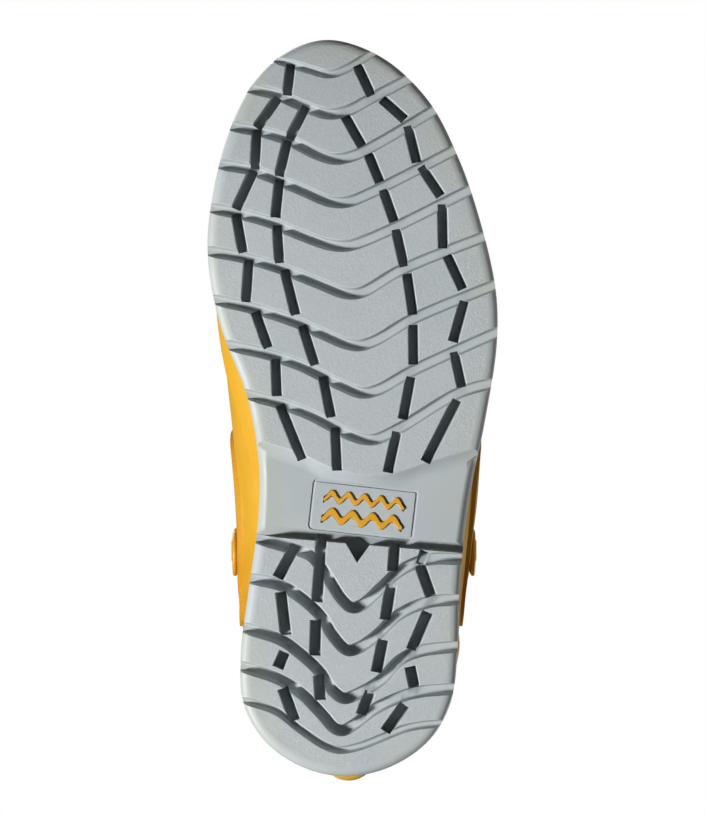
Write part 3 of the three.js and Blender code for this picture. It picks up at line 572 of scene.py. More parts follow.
def badge_frame():
    long_half, short_half, fillet = 21, 9.75, 1.2
    corners = []
    for cu, cv, start in ((1, 1, 0), (-1, 1, 90), (-1, -1, 180), (1, -1, 270)):
        for turn in np.radians(start + np.array([0, 30, 60, 90])):
            u = cu * (long_half - fillet) + fillet * math.cos(turn)
            corners.append((u, cv * (short_half - fillet) + fillet * math.sin(turn)))
    corners = np.array(corners)
    out = sideways(corners, closed=True) * -1
    sections = []
    for (u, v), (nu, nv) in zip(corners, out):
        ring = []
        for s, z in [(0.75, -1.5), (0.62, 0.0), (0.42, 0.5), (-0.42, 0.5), (-0.62, 0.0), (-0.75, -1.5)]:
            x, y = badge_place(u + nu * s, v + nv * s)
            ring.append((x, y, panel_height(y) + z))
        sections.append(ring)
    return rolled("badge_frame", sections, joined=True)


cut(sole, badge_frame())
wave_rows = {
    "badge_wave_front": dict(row=-3.9, length=33, thick=2.5, height=3.0, waves=5),
    "badge_wave_rear": dict(row=3.9, length=33, thick=3.2, height=3.4, waves=4),
}


def wave(name, row, length, thick, height, waves, grow, proud, bed, crown=0.0):
    steps = waves * 16
    sections = []
    rising = [(1, bed), (1, -proud + crown), (0.72, -proud)]  # share of the half width, and height
    shape = rising + [(-s, z) for s, z in reversed(rising)]
    for i in range(steps + 1):
        u = (i / steps - 0.5) * (length + 2 * grow)
        v = row + height / 2 * math.cos(2 * math.pi * waves * (i / steps))
        end = min(i, steps - i) / 5
        taper = math.sqrt(min(1, 0.25 + end)) if crown else 1
        half = (thick / 2 + grow) * taper
        ring = []
        for s, z in shape:
            x, y = badge_place(u, v + s * half)
            ring.append((x, y, panel_height(y) + z))
        sections.append(ring)
    return rolled(name, sections)


wave_pieces = {}
for name, row in wave_rows.items():
    cut(sole, wave("bed", grow=0.12, proud=1.5, bed=1.5, **row))
    wave_pieces[name] = wave(name + "_inlay", grow=-0.05, proud=0.9, bed=1.2, crown=0.35, **row)
print("badge and", len(wave_pieces), "wave inlays")

# %% [markdown]
# ## The upper
# The foot and leg were dipped on a last, so all their layers follow one smooth surface. That surface
# is set by cross-sections: each is a plane loop from the rear or bottom of the boot to its front or
# top, with a width on each side and a squareness. A layer is the same surface moved in or out.

# %% The last, as cross-sections
# rear y, rear z, front y, front z, medial and lateral half width, height share of the widest point,
# squareness of the rear and front halves
last = np.array([
    (250.5, 27, 250.5, 35, 12, 3, 0.5, 2, 2),
    (245, 23, 245.5, 41, 23.5, -9, 0.46, 2.6, 2.2),
    (234, 18.6, 237, 51, 34.5, -23.5, 0.44, 3, 2.3),
    (218, 15.4, 223, 59.5, 42.5, -34, 0.42, 3.4, 2.3),
    (197, 13.2, 204, 66, 48.5, -43.5, 0.4, 3.8, 2.3),
    (172, 12.2, 181, 72, 52, -52, 0.38, 4, 2.2),
    (146, 12.2, 158, 80, 52.2, -56.4, 0.38, 3.6, 2.1),
    (120, 13.6, 137, 92, 50.6, -57, 0.4, 2.8, 2),
    (95, 16.2, 119, 107, 48.6, -56, 0.42, 2.2, 2),
    (70, 18.8, 105, 122, 46.8, -54.8, 0.44, 2, 2),
    (44, 20.6, 96, 136, 45.4, -53.6, 0.45, 2.2, 2),
    (18, 21.8, 91, 148, 44.6, -51.4, 0.46, 2.4, 2),
    (-8, 22.8, 88, 158, 44.2, -49.4, 0.47, 2.5, 2),
    (-28, 26.4, 86.4, 167, 44, -48.6, 0.48, 2.4, 2),
    (-37.8, 36.5, 85.6, 176, 44.2, -48.4, 0.48, 2.2, 2),
    (-41.2, 52, 85.2, 186, 45, -49, 0.48, 2.1, 2),
    (-41.2, 74, 85.2, 197, 46.2, -50, 0.5, 2, 2.05),
    (-38.4, 100, 85.8, 210, 47.8, -51.6, 0.52, 1.9, 2.1),
    (-35.6, 129, 87, 225, 49, -53.4, 0.53, 1.86, 2.15),
    (-34.6, 162, 88.8, 243, 49.8, -55, 0.54, 1.84, 2.2),
    (-35, 200, 91.2, 262, 50.3, -56.2, 0.54, 1.82, 2.25),
    (-36.4, 242, 94.2, 284, 50.6, -56.9, 0.54, 1.8, 2.3),
    (-37.8, 286, 97.4, 307, 50.8, -57.3, 0.54, 1.8, 2.3),
    (-39, 330, 100.6, 330, 50.9, -57.5, 0.54, 1.8, 2.3),
    (-39.4, 345, 101.6, 345, 50.9, -57.5, 0.54, 1.8, 2.3),
])


def last_at(t):
    t = np.clip(t, 0, len(last) - 1)
    i = np.minimum(t.astype(int), len(last) - 2)
    f = (t - i)[..., None]
    a, b, c, d = (last[np.clip(i + k, 0, len(last) - 1)] for k in (-1, 0, 1, 2))
    bow = (2 * a - 5 * b + 4 * c - d) * f**2 + (3 * b - a - 3 * c + d) * f**3
    return 0.5 * (2 * b + (c - a) * f + bow)


def signed_power(value, power):
    return np.sign(value) * np.abs(value) ** power


def skin(t, phi):
    """Points of the boot's outer face, for arrays of section number and angle."""
    t, phi = np.broadcast_arrays(np.asarray(t, float), np.asarray(phi, float))
    ry, rz, fy, fz, medial, lateral, widest, rear_square, front_square = np.moveaxis(last_at(t), -1, 0)
    square = np.where(np.sin(phi) < 0, rear_square, front_square)
    x = (medial + lateral) / 2 + (medial - lateral) / 2 * signed_power(np.cos(phi), 2 / square)
    rise = signed_power(np.sin(phi), 2 / square)
    share = np.where(rise < 0, widest * (1 + rise), widest + (1 - widest) * rise)
    return np.stack([x, ry + (fy - ry) * share, rz + (fz - rz) * share], axis=-1)


def layer(t, phi, distance):
    """The same points moved out by a distance, in millimetres, along the surface's normal."""
    t, phi = np.broadcast_arrays(np.asarray(t, float), np.asarray(phi, float))
    small = 0.02
    round_way = skin(t, phi + small) - skin(t, phi - small)
    long_way = skin(np.minimum(t + small, 24), phi) - skin(np.maximum(t - small, 0), phi)
    normal = np.cross(round_way, long_way)
    normal /= np.linalg.norm(normal, axis=-1, keepdims=True)
    return skin(t, phi) + normal * np.asarray(distance)[..., None]


# %% [markdown]
# Each layer is first a whole solid body with a rounded toe, then one body is cut out of another and
# the result is trimmed with slabs. The rows are closer where the toe turns sharply.

# %% Bodies at any distance from the last
around = 88
angles = (np.arange(around) + 0.5) / around * 2 * math.pi
rows = np.concatenate([[0.03, 0.12, 0.25, 0.45, 0.7], np.arange(1, 24.01, 1 / 3)])
bodies_made = {}


def body(distance):
    if distance not in bodies_made:
        sections = layer(rows[:, None], angles[None, :], distance)
        bodies_made[distance] = rolled(f"body_{distance}", sections)
        bodies_made[distance].hide_render = True
    return bodies_made[distance]


def between(name, outer, inner):
    piece = copy_of(body(outer), name)
    piece.hide_render = False
    return cut(piece, body(inner), keep=True)


gap, boot_height = 0.3, 330
rim_rise, foxing_high = 7, 11
past_toe, past_heel = 262.6, -53.4  # y of the ends of every trimming slab
bottom = [(past_toe, 26)] + [(r[0], r[1]) for r in last[1:13]] + [(past_heel, 24.5)]
bottom = np.array(bottom[::-1])


def rim_line(rise):
    ys = np.linspace(past_heel, past_toe, 61)
    return [(y, z + rim_rise + rise) for y, z in zip(ys, np.interp(ys, bottom[:, 0], bottom[:, 1]))]


def above(rise):
    return side_slab("above", rim_line(rise) + [(past_toe, 500), (past_heel, 500)])


def below(rise):
    return side_slab("below", rim_line(rise) + [(past_toe, -20), (past_heel, -20)])


def levels(low, high):
    return side_slab("levels", [(-200, low), (300, low), (300, high), (-200, high)])


print("last:", len(rows), "rows of", around)

# %% [markdown]
# The sole's side wall stops at the rim line, and its inside is the shape of the foot.

# %% Trim the sole
cut(sole, above(0))
cut(sole, body(gap), keep=True)
print("sole", len(sole.data.polygons), "faces after trimming")

# %% [markdown]
# ## The upper's layers
# The foot and the leg are separate mouldings that meet on a slanting line from the heel to the
# instep. Bands and patches of a second rubber layer are bonded over the places that rub.

# %% Foot, leg and lining
rubber_wall, overlay_wall, lining_wall = 2.2, 1.4, 1.1
rear, front = np.array([-41.2, 52]), np.array([85.2, 186])
split_run = front - rear
split_up = np.array([-split_run[1], split_run[0]]) / np.linalg.norm(split_run)
yellow_pieces = {}


def split_line(shift):
    return [tuple(rear + split_run * f + split_up * shift) for f in (-0.4, 1.4)]


foot = between("foot_rubber", 0, -rubber_wall)
cut(foot, side_slab("below_split", split_line(-gap / 2) + [(300, -20), (-200, -20)]), "INTERSECT")
leg = between("leg_rubber", 0, -rubber_wall)
cut(leg, side_slab("above_split", split_line(gap / 2) + [(300, 500), (-200, 500)]), "INTERSECT")
cut(leg, levels(-20, boot_height), "INTERSECT")
yellow_pieces["foot_shell"], yellow_pieces["leg_shell"] = foot, leg
lining_outer = -(rubber_wall + gap)
lining = between("knitted_lining", lining_outer, lining_outer - lining_wall)
cut(lining, levels(-20, boot_height), "INTERSECT")
print("foot", len(foot.data.polygons), "leg", len(leg.data.polygons), "lining", len(lining.data.polygons))


# %% [markdown]
# A real overlay is a sheet of rubber laid on before the boot is cured. Here it is a thin layer of the
# same surface, trimmed to its outline by slabs or by an oval block, sunk a little into the rubber below
# and rounded at its rim. The foxing strip keeps a square edge.

# %% Bonded bands and patches
def rounded(piece, width, segments, degrees=40):
    bevel = piece.modifiers.new("round", "BEVEL")
    bevel.width, bevel.segments, bevel.limit_method = width * MM, segments, "ANGLE"
    bevel.angle_limit, bevel.use_clamp_overlap = math.radians(degrees), True
    start_clean()
    bpy.context.view_layer.objects.active = piece
    piece.select_set(True)
    bpy.ops.object.modifier_apply(modifier=bevel.name)
    return piece


def without_slivers(piece, size):
    start_clean()
    bpy.context.view_layer.objects.active = piece
    piece.select_set(True)
    bpy.ops.object.mode_set(mode="EDIT")
    bpy.ops.mesh.select_all(action="SELECT")
    bpy.ops.mesh.remove_doubles(threshold=size * MM)
    bpy.ops.object.mode_set(mode="OBJECT")
    return piece


sunk = 0.35  # mm that a bonded layer is pressed into the one below it
rim_round = 0.55


def patch(name, cad_node, *regions, thick=overlay_wall, rim=rim_round):
    piece = between(name, gap + thick, -sunk)
    for region in regions:
        cut(piece, region, "INTERSECT")
    if rim:
        rounded(without_slivers(piece, 0.2), rim, 2, 50)
    yellow_pieces[cad_node] = piece


over_foxing = gap + foxing_high + gap
band_high, binding_high = 14, 12
band_top = boot_height - binding_high - gap
strip_low, strip_top = 90.3, band_top - band_high - gap
toe_side = [(206, -10), (196, 50), (202, 90), (past_toe, 90), (past_toe, -10)]
heel_side = [(-54.4, -10), (22, -10), (12, 52), (-8, 82), (-24, 90), (-54.4, 90)]
strip_side = [(-80, strip_low), (-10, strip_low), (-10, strip_top), (-80, strip_top)]
instep_side = [(172, 60), (172, 100), (112, 190), (70, 214), (60, 196), (92, 120), (130, 70)]
strip_half_width, instep_half_width, foxing_wall = 11, 26, 1.6
patch("foxing", "foxing_strip", above(gap), below(gap + foxing_high), thick=foxing_wall, rim=0)
patch("toe_guard", "toe_cap", side_slab("toe", toe_side), above(over_foxing))
patch("heel_guard", "heel_counter", side_slab("heel", heel_side), above(over_foxing))
patch("heel_seam_strip", "back_strip", side_slab("strip", strip_side, half=strip_half_width))
patch("instep_guard", "instep_patch", side_slab("instep", instep_side, half=instep_half_width))
patch("leg_band", "top_band", levels(band_top - band_high, band_top))
ankle_y, ankle_z, ankle_reach, ankle_rise = 53, 84, 44, 24
lean = math.radians(-20)
for side, cad_node in ((1, "ankle_patch_medial"), (-1, "ankle_patch_lateral")):
    oval = []
    for turn in np.linspace(0, 2 * math.pi, 96, endpoint=False):
        u, v = ankle_reach * math.cos(turn), ankle_rise * math.sin(turn)
        y = ankle_y + u * math.cos(lean) - v * math.sin(lean)
        oval.append((side * 8, y, ankle_z + u * math.sin(lean) + v * math.cos(lean)))
    patch(cad_node + "_oval", cad_node, block("oval", oval, (side * 90, 0, 0)))
print("bonded pieces:", len(yellow_pieces))

# %% [markdown]
# The top edge is bound with a moulded strip that wraps over the rubber and the lining. Its section is
# an upside-down U with rounded shoulders, carried once round the leg.

# %% Top binding
inner_face = lining_outer - lining_wall - gap
binding_wall = 1.5


def binding_piece():
    turns = np.linspace(0, 2 * math.pi, 160, endpoint=False) + math.pi / 160
    top, low = boot_height + gap + binding_wall, boot_height - binding_high
    out, inn = gap + binding_wall, inner_face - binding_wall
    shoulder = 1.4
    outer_turns, inner_turns = np.radians([30, 60, 90]), np.radians([90, 120, 150, 180])
    shape = [(gap, low), (out - 0.5, low), (out, low + 0.5), (out, top - shoulder)]
    for middle, bend in ((out - shoulder, outer_turns), (inn + shoulder, inner_turns)):
        for a in bend:
            shape.append((middle + shoulder * math.cos(a), top - shoulder + shoulder * math.sin(a)))
    shape += [(inn, low + 0.5), (inn + 0.5, low), (inner_face, low)]
    shape += [(inner_face, boot_height + gap), (gap, boot_height + gap)]
    made = []
    for turn in turns:
        edge = skin(23, turn)
        ahead = skin(23, turn + 0.01) - skin(23, turn - 0.01)
        flat = np.array([ahead[1], -ahead[0]])
        flat /= np.linalg.norm(flat)
        lower = skin(22.5, turn)
        lean = (edge[:2] - lower[:2]) / (edge[2] - lower[2])
        ring = []
        for reach, height in shape:
            x, y = edge[:2] + flat * reach + lean * (height - boot_height)
            ring.append((x, y, height))
        made.append(ring)
    return rolled("edge_binding", made, joined=True)


yellow_pieces["top_binding"] = binding_piece()
print("binding", len(yellow_pieces["top_binding"].data.polygons), "faces")

# %% [markdown]
# ## The footbed and the ledge
# The footbed is a moulded foam plate under a brushed cloth cover. It is cut from the same bodies as
# the lining, so it fits under the foot, and its rim turns up a few millimetres all round. A cut can
# leave slivers beside the plate, so only the largest loose part is kept.


# %% Footbed plates
def keep_largest(piece):
    start_clean()
    bpy.context.view_layer.objects.active = piece
    piece.select_set(True)
    name, before = piece.name, set(bpy.data.objects)
    bpy.ops.object.mode_set(mode="EDIT")
    bpy.ops.mesh.select_all(action="SELECT")
    bpy.ops.mesh.separate(type="LOOSE")
    bpy.ops.object.mode_set(mode="OBJECT")
    parts = [piece] + [made for made in bpy.data.objects if made not in before]
    parts.sort(key=lambda made: len(made.data.vertices))
    for spare in parts[:-1]:
        bpy.data.objects.remove(spare, do_unlink=True)
    parts[-1].name = name
    return parts[-1]


def foot_plate(name, outer, thickness, lip=6):
    piece = between(name, outer, outer - thickness)
    cut(piece, below(lip - outer - rim_rise), "INTERSECT")
    cut(piece, side_slab("behind_toe", [(-60, -20), (231, -20), (231, 120), (-60, 120)]), "INTERSECT")
    return keep_largest(piece)


board_wall, foam_wall, cover_wall = 1.6, 4, 0.8
foam_outer = lining_outer - lining_wall - gap - board_wall - gap
footbed_foam = foot_plate("footbed_pad", foam_outer, foam_wall)
footbed_cover = foot_plate("footbed_sock", foam_outer - foam_wall - gap, cover_wall)
print("footbed", len(footbed_foam.data.polygons), "cover", len(footbed_cover.data.polygons))

# %% [markdown]
# A moulded ledge sticks out at the back of the heel, so that the boot can be pushed off with the other
# foot. Its outline is half an ellipse, its edges are rounded, and three grip lines cross its top.


# %% Kick-off ledge
ledge_low, ledge_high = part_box("kick_off_ledge")
ledge_tip, ledge_root = ledge_low[1] / MM, -36
ledge_floor, ledge_top = ledge_low[2] / MM, ledge_high[2] / MM
ledge_middle, ledge_half_width, ledge_round = -1, 12.9, 2.4
outline = []
for turn in np.linspace(0, 2 * math.pi, 72, endpoint=False):
    x = ledge_middle + ledge_half_width * math.cos(turn)
    y = ledge_root + (ledge_root - ledge_tip) * math.sin(turn)
    outline.append((x, y, ledge_floor))
ledge = rounded(block("heel_ledge", outline, (0, 0, ledge_top - ledge_floor)), ledge_round, 5)
for reach in (2.6, 5.0, 7.4):
    line = []
    for turn in np.radians(np.linspace(205, 335, 24)):
        x = ledge_middle + (ledge_half_width - reach) * math.cos(turn)
        y = ledge_root + (ledge_root - ledge_tip - reach) * math.sin(turn)
        line.append((x, y))
    ring = [(-0.5, 1), (-0.4, 0), (0, -0.5), (0.4, 0), (0.5, 1)]
    grip = []
    for (x, y), (nx, ny) in zip(line, sideways(np.array(line))):
        grip.append([(x + nx * s, y + ny * s, ledge_top + z) for s, z in ring])
    cut(ledge, rolled("grip", grip))
cut(ledge, body(2 * gap + foxing_wall), keep=True)
yellow_pieces["kick_off_ledge"] = ledge
print("ledge", len(ledge.data.polygons), "faces")

# %% [markdown]
# ## Pull loops
# Each side has a soft rubber eye to pull the boot on by. Its strap is an oval section carried round a
# long ring. The top of the ring is a round bar that turns in a moulded keeper on the leg.


# %% Loops and keepers
def pull_loop(name, cad_node):
    low, high = (np.array(corner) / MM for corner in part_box(cad_node))
    plane, middle = (low[0] + high[0]) / 2, (low[1] + high[1]) / 2
    strap, thick = 4.6, high[0] - low[0]
    reach = (high[1] - low[1]) / 2 - strap / 2
    bar_height = high[2] - thick / 2
    bend = low[2] + strap / 2 + reach
    path = [(-reach, z) for z in np.linspace(bar_height - 2, bend, 10)]
    turns = np.radians(np.linspace(190, 350, 24))
    path += [(reach * math.cos(a), bend + reach * math.sin(a)) for a in turns]
    path += [(reach, z) for z in np.linspace(bend, bar_height - 2, 10)]
    path += [(reach - 0.6, bar_height - 0.6)]
    path += [(y, bar_height) for y in np.linspace(reach - 2.2, 2.2 - reach, 10)]
    path += [(0.6 - reach, bar_height - 0.6)]
    path = np.array(path)
    out = sideways(path, closed=True)
    sections = []
    for (y, z), (ny, nz) in zip(path, out):
        flat = np.clip((bar_height - 1 - z) / 6, 0, 1)
        half = thick / 2 + (strap / 2 - thick / 2) * flat
        ring = []
        for turn in np.linspace(0, 2 * math.pi, 20, endpoint=False):
            s = half * signed_power(math.cos(turn), 0.75)
            d = thick / 2 * signed_power(math.sin(turn), 0.75)
            ring.append((plane + d, middle + y + ny * s, z + nz * s))
        sections.append(ring)
    return rolled(name, sections, joined=True), plane, middle, bar_height, thick


def keeper(name, side, plane, middle, bar_height, thick, wide=12.2, tall=14, wall=1.1):
    reach = thick / 2 + gap + wall
    start_clean()
    centre = Vector((plane - side * 6, middle, bar_height)) * MM
    bpy.ops.mesh.primitive_cube_add(size=1, location=centre)
    piece = bpy.context.object
    piece.name = name
    bpy.ops.transform.resize(value=((2 * reach + 12) * MM, wide * MM, tall * MM))
    bpy.ops.object.transform_apply(location=True, rotation=True, scale=True)
    rounded(piece, 2.1, 5)
    cut(piece, body(gap), keep=True)
    bpy.ops.mesh.primitive_cylinder_add(
        vertices=40, radius=(thick / 2 + gap) * MM, depth=2 * wide * MM,
        location=(plane * MM, middle * MM, bar_height * MM), rotation=(math.pi / 2, 0, 0),
    )
    bore = bpy.context.object
    return cut(piece, bore)


loops, keepers = {}, {}
for side_name, side in (("medial", 1), ("lateral", -1)):
    loop, *place = pull_loop("strap_eye_" + side_name, "pull_loop_" + side_name)
    loops[side_name] = loop
    keepers["loop_keeper_" + side_name] = keeper("eye_keeper_" + side_name, side, *place)
print("loops", len(loops), "keepers", len(keepers))
for distance, made in list(bodies_made.items()):
    bpy.data.objects.remove(made, do_unlink=True)
bodies_made.clear()

# %% [markdown]
# ## Marks of the making, and painted shade
# Three values are painted on the sole's corners for its material. One is high on the thin lips where
# the deck rubs. One is painted shade: it rises towards the floor of the short slots and of the notch,
# where light hardly reaches. The last marks the outer pads, where the grey has yellowed a little.

# %% Worn lips and painted shade on the slot floors
places = np.array([corner.co for corner in sole.data.vertices]) / MM
depth = places[:, 2] - spring(places[:, 1])
lip = np.clip(1 - np.abs(depth - 0.1) / 0.25, 0, 1) * (depth < 1)
# Painted shade: the colour darkens towards the floors of the slots and the notch, where shade falls.
slot_shade_paint = np.zeros(len(places))
slot_reach, notch_reach, notch_line = 2.45, 5.5, [(-4.5, 42), (-4.6, 50)]
shade_paint_from, shade_paint_over, shade_paint_cuts = 2.6, 3.6, [(line, slot_reach) for line in forefoot_slots + heel_slots]
for line, half in shade_paint_cuts + [(notch_line, notch_reach)]:
    (ax, ay), (bx, by) = line
    run = np.array([bx - ax, by - ay])
    from_start = places[:, :2] - (ax, ay)
    share = np.clip(from_start @ run / (run @ run), -0.05, 1.05)
    apart = np.linalg.norm(from_start - share[:, None] * run, axis=1)
    inside = (apart < half) & (depth < 8.5)
    slot_shade_paint = np.where(inside, np.maximum(slot_shade_paint, np.clip((depth - shade_paint_from) / shade_paint_over, 0, 1)), slot_shade_paint)
from_rim = np.full(len(places), 99.0)
for x, y in sole_line[::2]:
    from_rim = np.minimum(from_rim, np.hypot(places[:, 0] - x, places[:, 1] - y))
rim = np.clip(1 - (from_rim - 3) / 11, 0, 1)
for name, values in (("lip", lip), ("slot_floor", slot_shade_paint), ("rim", rim)):
    sole.data.attributes.new(name, "FLOAT", "POINT").data.foreach_set("value", values)
print("lip corners", int((lip > 0).sum()), "slot corners", int((slot_shade_paint > 0).sum()))

# %% [markdown]
# ## Finishes
# Every material starts from an empty principled shader, and a pattern's scale is written as the size
# of one repeat in millimetres. Object coordinates are in metres, so the scale is one over that size.


# %% Starting a material
def fresh(name, roughness, ior=1.5, metallic=0.0, **sockets):
    made = bpy.data.materials.new(name)
    made.use_nodes = True
    tree = made.node_tree
    tree.nodes.clear()
    shader = node(tree, "BsdfPrincipled", {"Metallic": metallic, "Roughness": roughness, "IOR": ior})
    for socket, value in sockets.items():
        shader.inputs[socket.replace("_", " ")].default_value = value
    node(tree, "OutputMaterial", {"Surface": shader.outputs[0]})
    where = node(tree, "TexCoord").outputs["Object"]
    return made, tree, shader, where


PER_MM = 1000  # a pattern's scale is this over its repeat in millimetres
FIRST, SECOND, MIXED = 6, 7, 2  # the colour sockets of a Mix node, and its colour output


# %% [markdown]
# **Moulded sole rubber.** A filled natural rubber, pressed in a steel mould. The mould's pad faces were
# etched, so the pads have a fine sandy stipple that scatters light. The groove tools were polished, so
# the grooves are smooth with a faint sheen. The grey is a little warmer in some patches than in others.


# %% Sole rubber, etched and polished
def sole_rubber(name, stipple, roughness):
    made, tree, shader, where = fresh(name, roughness, ior=1.52)
    patches = node(tree, "TexNoise", {"Scale": PER_MM / 34, "Detail": 3, "Vector": where}).outputs["Fac"]
    greys = [(0.3, "#ADB6BA"), (0.52, "#B5BCBE"), (0.74, "#B1BABF")]
    tone = node(tree, "ValToRGB", {"Fac": patches}, greys).outputs["Color"]
    grit = node(tree, "TexVoronoi", {"Scale": PER_MM / 0.75, "Vector": where}).outputs["Distance"]
    dust = node(tree, "TexNoise", {"Scale": PER_MM / 1.3, "Roughness": 0.7, "Vector": where}).outputs["Fac"]
    speck = node(tree, "ValToRGB", {"Fac": dust}, [(0.3, "#EDEEEE"), (0.7, "#FFFFFF")]).outputs["Color"]
    speckled = {0: stipple, FIRST: tone, SECOND: speck}
    colour = node(tree, "Mix", speckled, data_type="RGBA", blend_type="MULTIPLY").outputs[MIXED]

    rims = node(tree, "Attribute", attribute_name="rim").outputs["Fac"]
    blotches = node(tree, "TexNoise", {"Scale": PER_MM / 26, "Vector": where}).outputs["Fac"]
    aged = node(tree, "MapRange", {"Value": blotches, "From Min": 0.35, "From Max": 0.6}).outputs[0]
    aged = node(tree, "Math", {0: rims, 1: aged}, operation="MULTIPLY").outputs[0]
    lips = node(tree, "Attribute", attribute_name="lip").outputs["Fac"]
    painted_shade = node(tree, "Attribute", attribute_name="slot_floor").outputs["Fac"]
    # painted shade: the near-black #1B1D1F is laid towards the floors of the slots and the notch
    for mark, strength, code in ((aged, 0.6, "#B1B5A8"), (lips, 0.35, "#D5DADB"), (painted_shade, 0.34, "#1B1D1F")):
        share = node(tree, "MapRange", {"Value": mark, "To Max": strength}).outputs[0]
        marked = {0: share, FIRST: colour, SECOND: linear(code)}
        colour = node(tree, "Mix", marked, data_type="RGBA").outputs[MIXED]
    tree.links.new(colour, shader.inputs["Base Color"])

    worn = node(tree, "TexNoise", {"Scale": PER_MM / 9, "Detail": 3, "Vector": where}).outputs["Fac"]
    spread = {"From Min": 0.3, "From Max": 0.7, "To Min": roughness - 0.07, "To Max": roughness + 0.07}
    rub = node(tree, "MapRange", {"Value": worn, **spread}).outputs[0]
    tree.links.new(rub, shader.inputs["Roughness"])
    swell = node(tree, "TexNoise", {"Scale": PER_MM / 3.5, "Vector": where}).outputs["Fac"]
    soft = node(tree, "Bump", {"Distance": 0.03 * MM, "Height": swell}).outputs[0]
    sandy = 0.075 * stipple + 0.005  # mm
    fine = node(tree, "Bump", {"Distance": sandy * MM, "Height": grit, "Normal": soft}).outputs[0]
    tree.links.new(fine, shader.inputs["Normal"])
    return made


etched_rubber = sole_rubber("etched_sole_rubber", 1.0, 0.72)
polished_rubber = sole_rubber("polished_sole_rubber", 0.12, 0.55)

# %% [markdown]
# **Dipped yellow rubber.** The upper was dipped in coloured latex, so its surface is a satin skin that
# flowed a little before it cured: long soft ripples, a rare pinhole, and a paler bloom in places where
# wax has come to the surface. Thin scuffs are paler and rougher than the skin around them.


# %% Upper rubber
def dipped(name, deep, body_tone, pale, roughness=0.4, scuffed=0.5):
    made, tree, shader, where = fresh(name, roughness, ior=1.51)
    pools = node(tree, "TexNoise", {"Scale": PER_MM / 55, "Detail": 3, "Vector": where}).outputs["Fac"]
    yellows = [(0.3, deep), (0.5, body_tone), (0.72, body_tone)]
    colour = node(tree, "ValToRGB", {"Fac": pools}, yellows).outputs["Color"]

    cloud = {"Scale": PER_MM / 22, "Detail": 4, "Roughness": 0.6}
    waxy = node(tree, "TexNoise", {**cloud, "Vector": where}).outputs["Fac"]
    drawn_out = {"Scale": (1.0, 0.16, 0.16), "Rotation": (0.5, 0.3, 0.2)}
    long_way = node(tree, "Mapping", {**drawn_out, "Vector": where}).outputs[0]
    streak = {"Scale": PER_MM / 3.2, "Detail": 4, "Roughness": 0.7}
    scratches = node(tree, "TexNoise", {**streak, "Vector": long_way}).outputs["Fac"]
    for mark, start, strength in ((waxy, 0.52, 0.22), (scratches, 0.66, scuffed)):
        shown = {"From Min": start, "From Max": 0.78, "To Max": strength}
        share = node(tree, "MapRange", {"Value": mark, **shown}).outputs[0]
        marked = {0: share, FIRST: colour, SECOND: linear(pale)}
        colour = node(tree, "Mix", marked, data_type="RGBA").outputs[MIXED]
    tree.links.new(colour, shader.inputs["Base Color"])

    worn = node(tree, "TexNoise", {"Scale": PER_MM / 14, "Detail": 3, "Vector": where}).outputs["Fac"]
    spread = {"From Min": 0.3, "From Max": 0.7, "To Min": roughness - 0.06, "To Max": roughness + 0.08}
    rub = node(tree, "MapRange", {"Value": worn, **spread}).outputs[0]
    tree.links.new(rub, shader.inputs["Roughness"])
    ripples = node(tree, "TexNoise", {"Scale": PER_MM / 16, "Vector": where}).outputs["Fac"]
    grain = node(tree, "TexNoise", {"Scale": PER_MM / 1.1, "Vector": where}).outputs["Fac"]
    holes = node(tree, "TexVoronoi", {"Scale": PER_MM / 7, "Vector": where}).outputs["Distance"]
    pits = node(tree, "MapRange", {"Value": holes, "From Max": 0.07}).outputs[0]
    flow = node(tree, "Bump", {"Distance": 0.35 * MM, "Height": ripples}).outputs[0]
    skin_grain = node(tree, "Bump", {"Distance": 0.02 * MM, "Height": grain, "Normal": flow}).outputs[0]
    pinholes = node(tree, "Bump", {"Distance": 0.05 * MM, "Height": pits, "Normal": skin_grain}).outputs[0]
    tree.links.new(pinholes, shader.inputs["Normal"])
    return made


yellow_rubber = dipped("dipped_yellow_rubber", "#CD951E", "#D29E29", "#DFB662")
inlay_rubber = dipped("cast_inlay_rubber", "#D8991D", "#DCA125", "#E6B85A", roughness=0.46, scuffed=0.7)

# %% [markdown]
# **Knitted lining.** A plain cotton jersey, bonded to the inside of the rubber. Its columns of V-shaped
# stitches are 1.9 mm wide here, about twice the real gauge, because the real one is too fine to show.


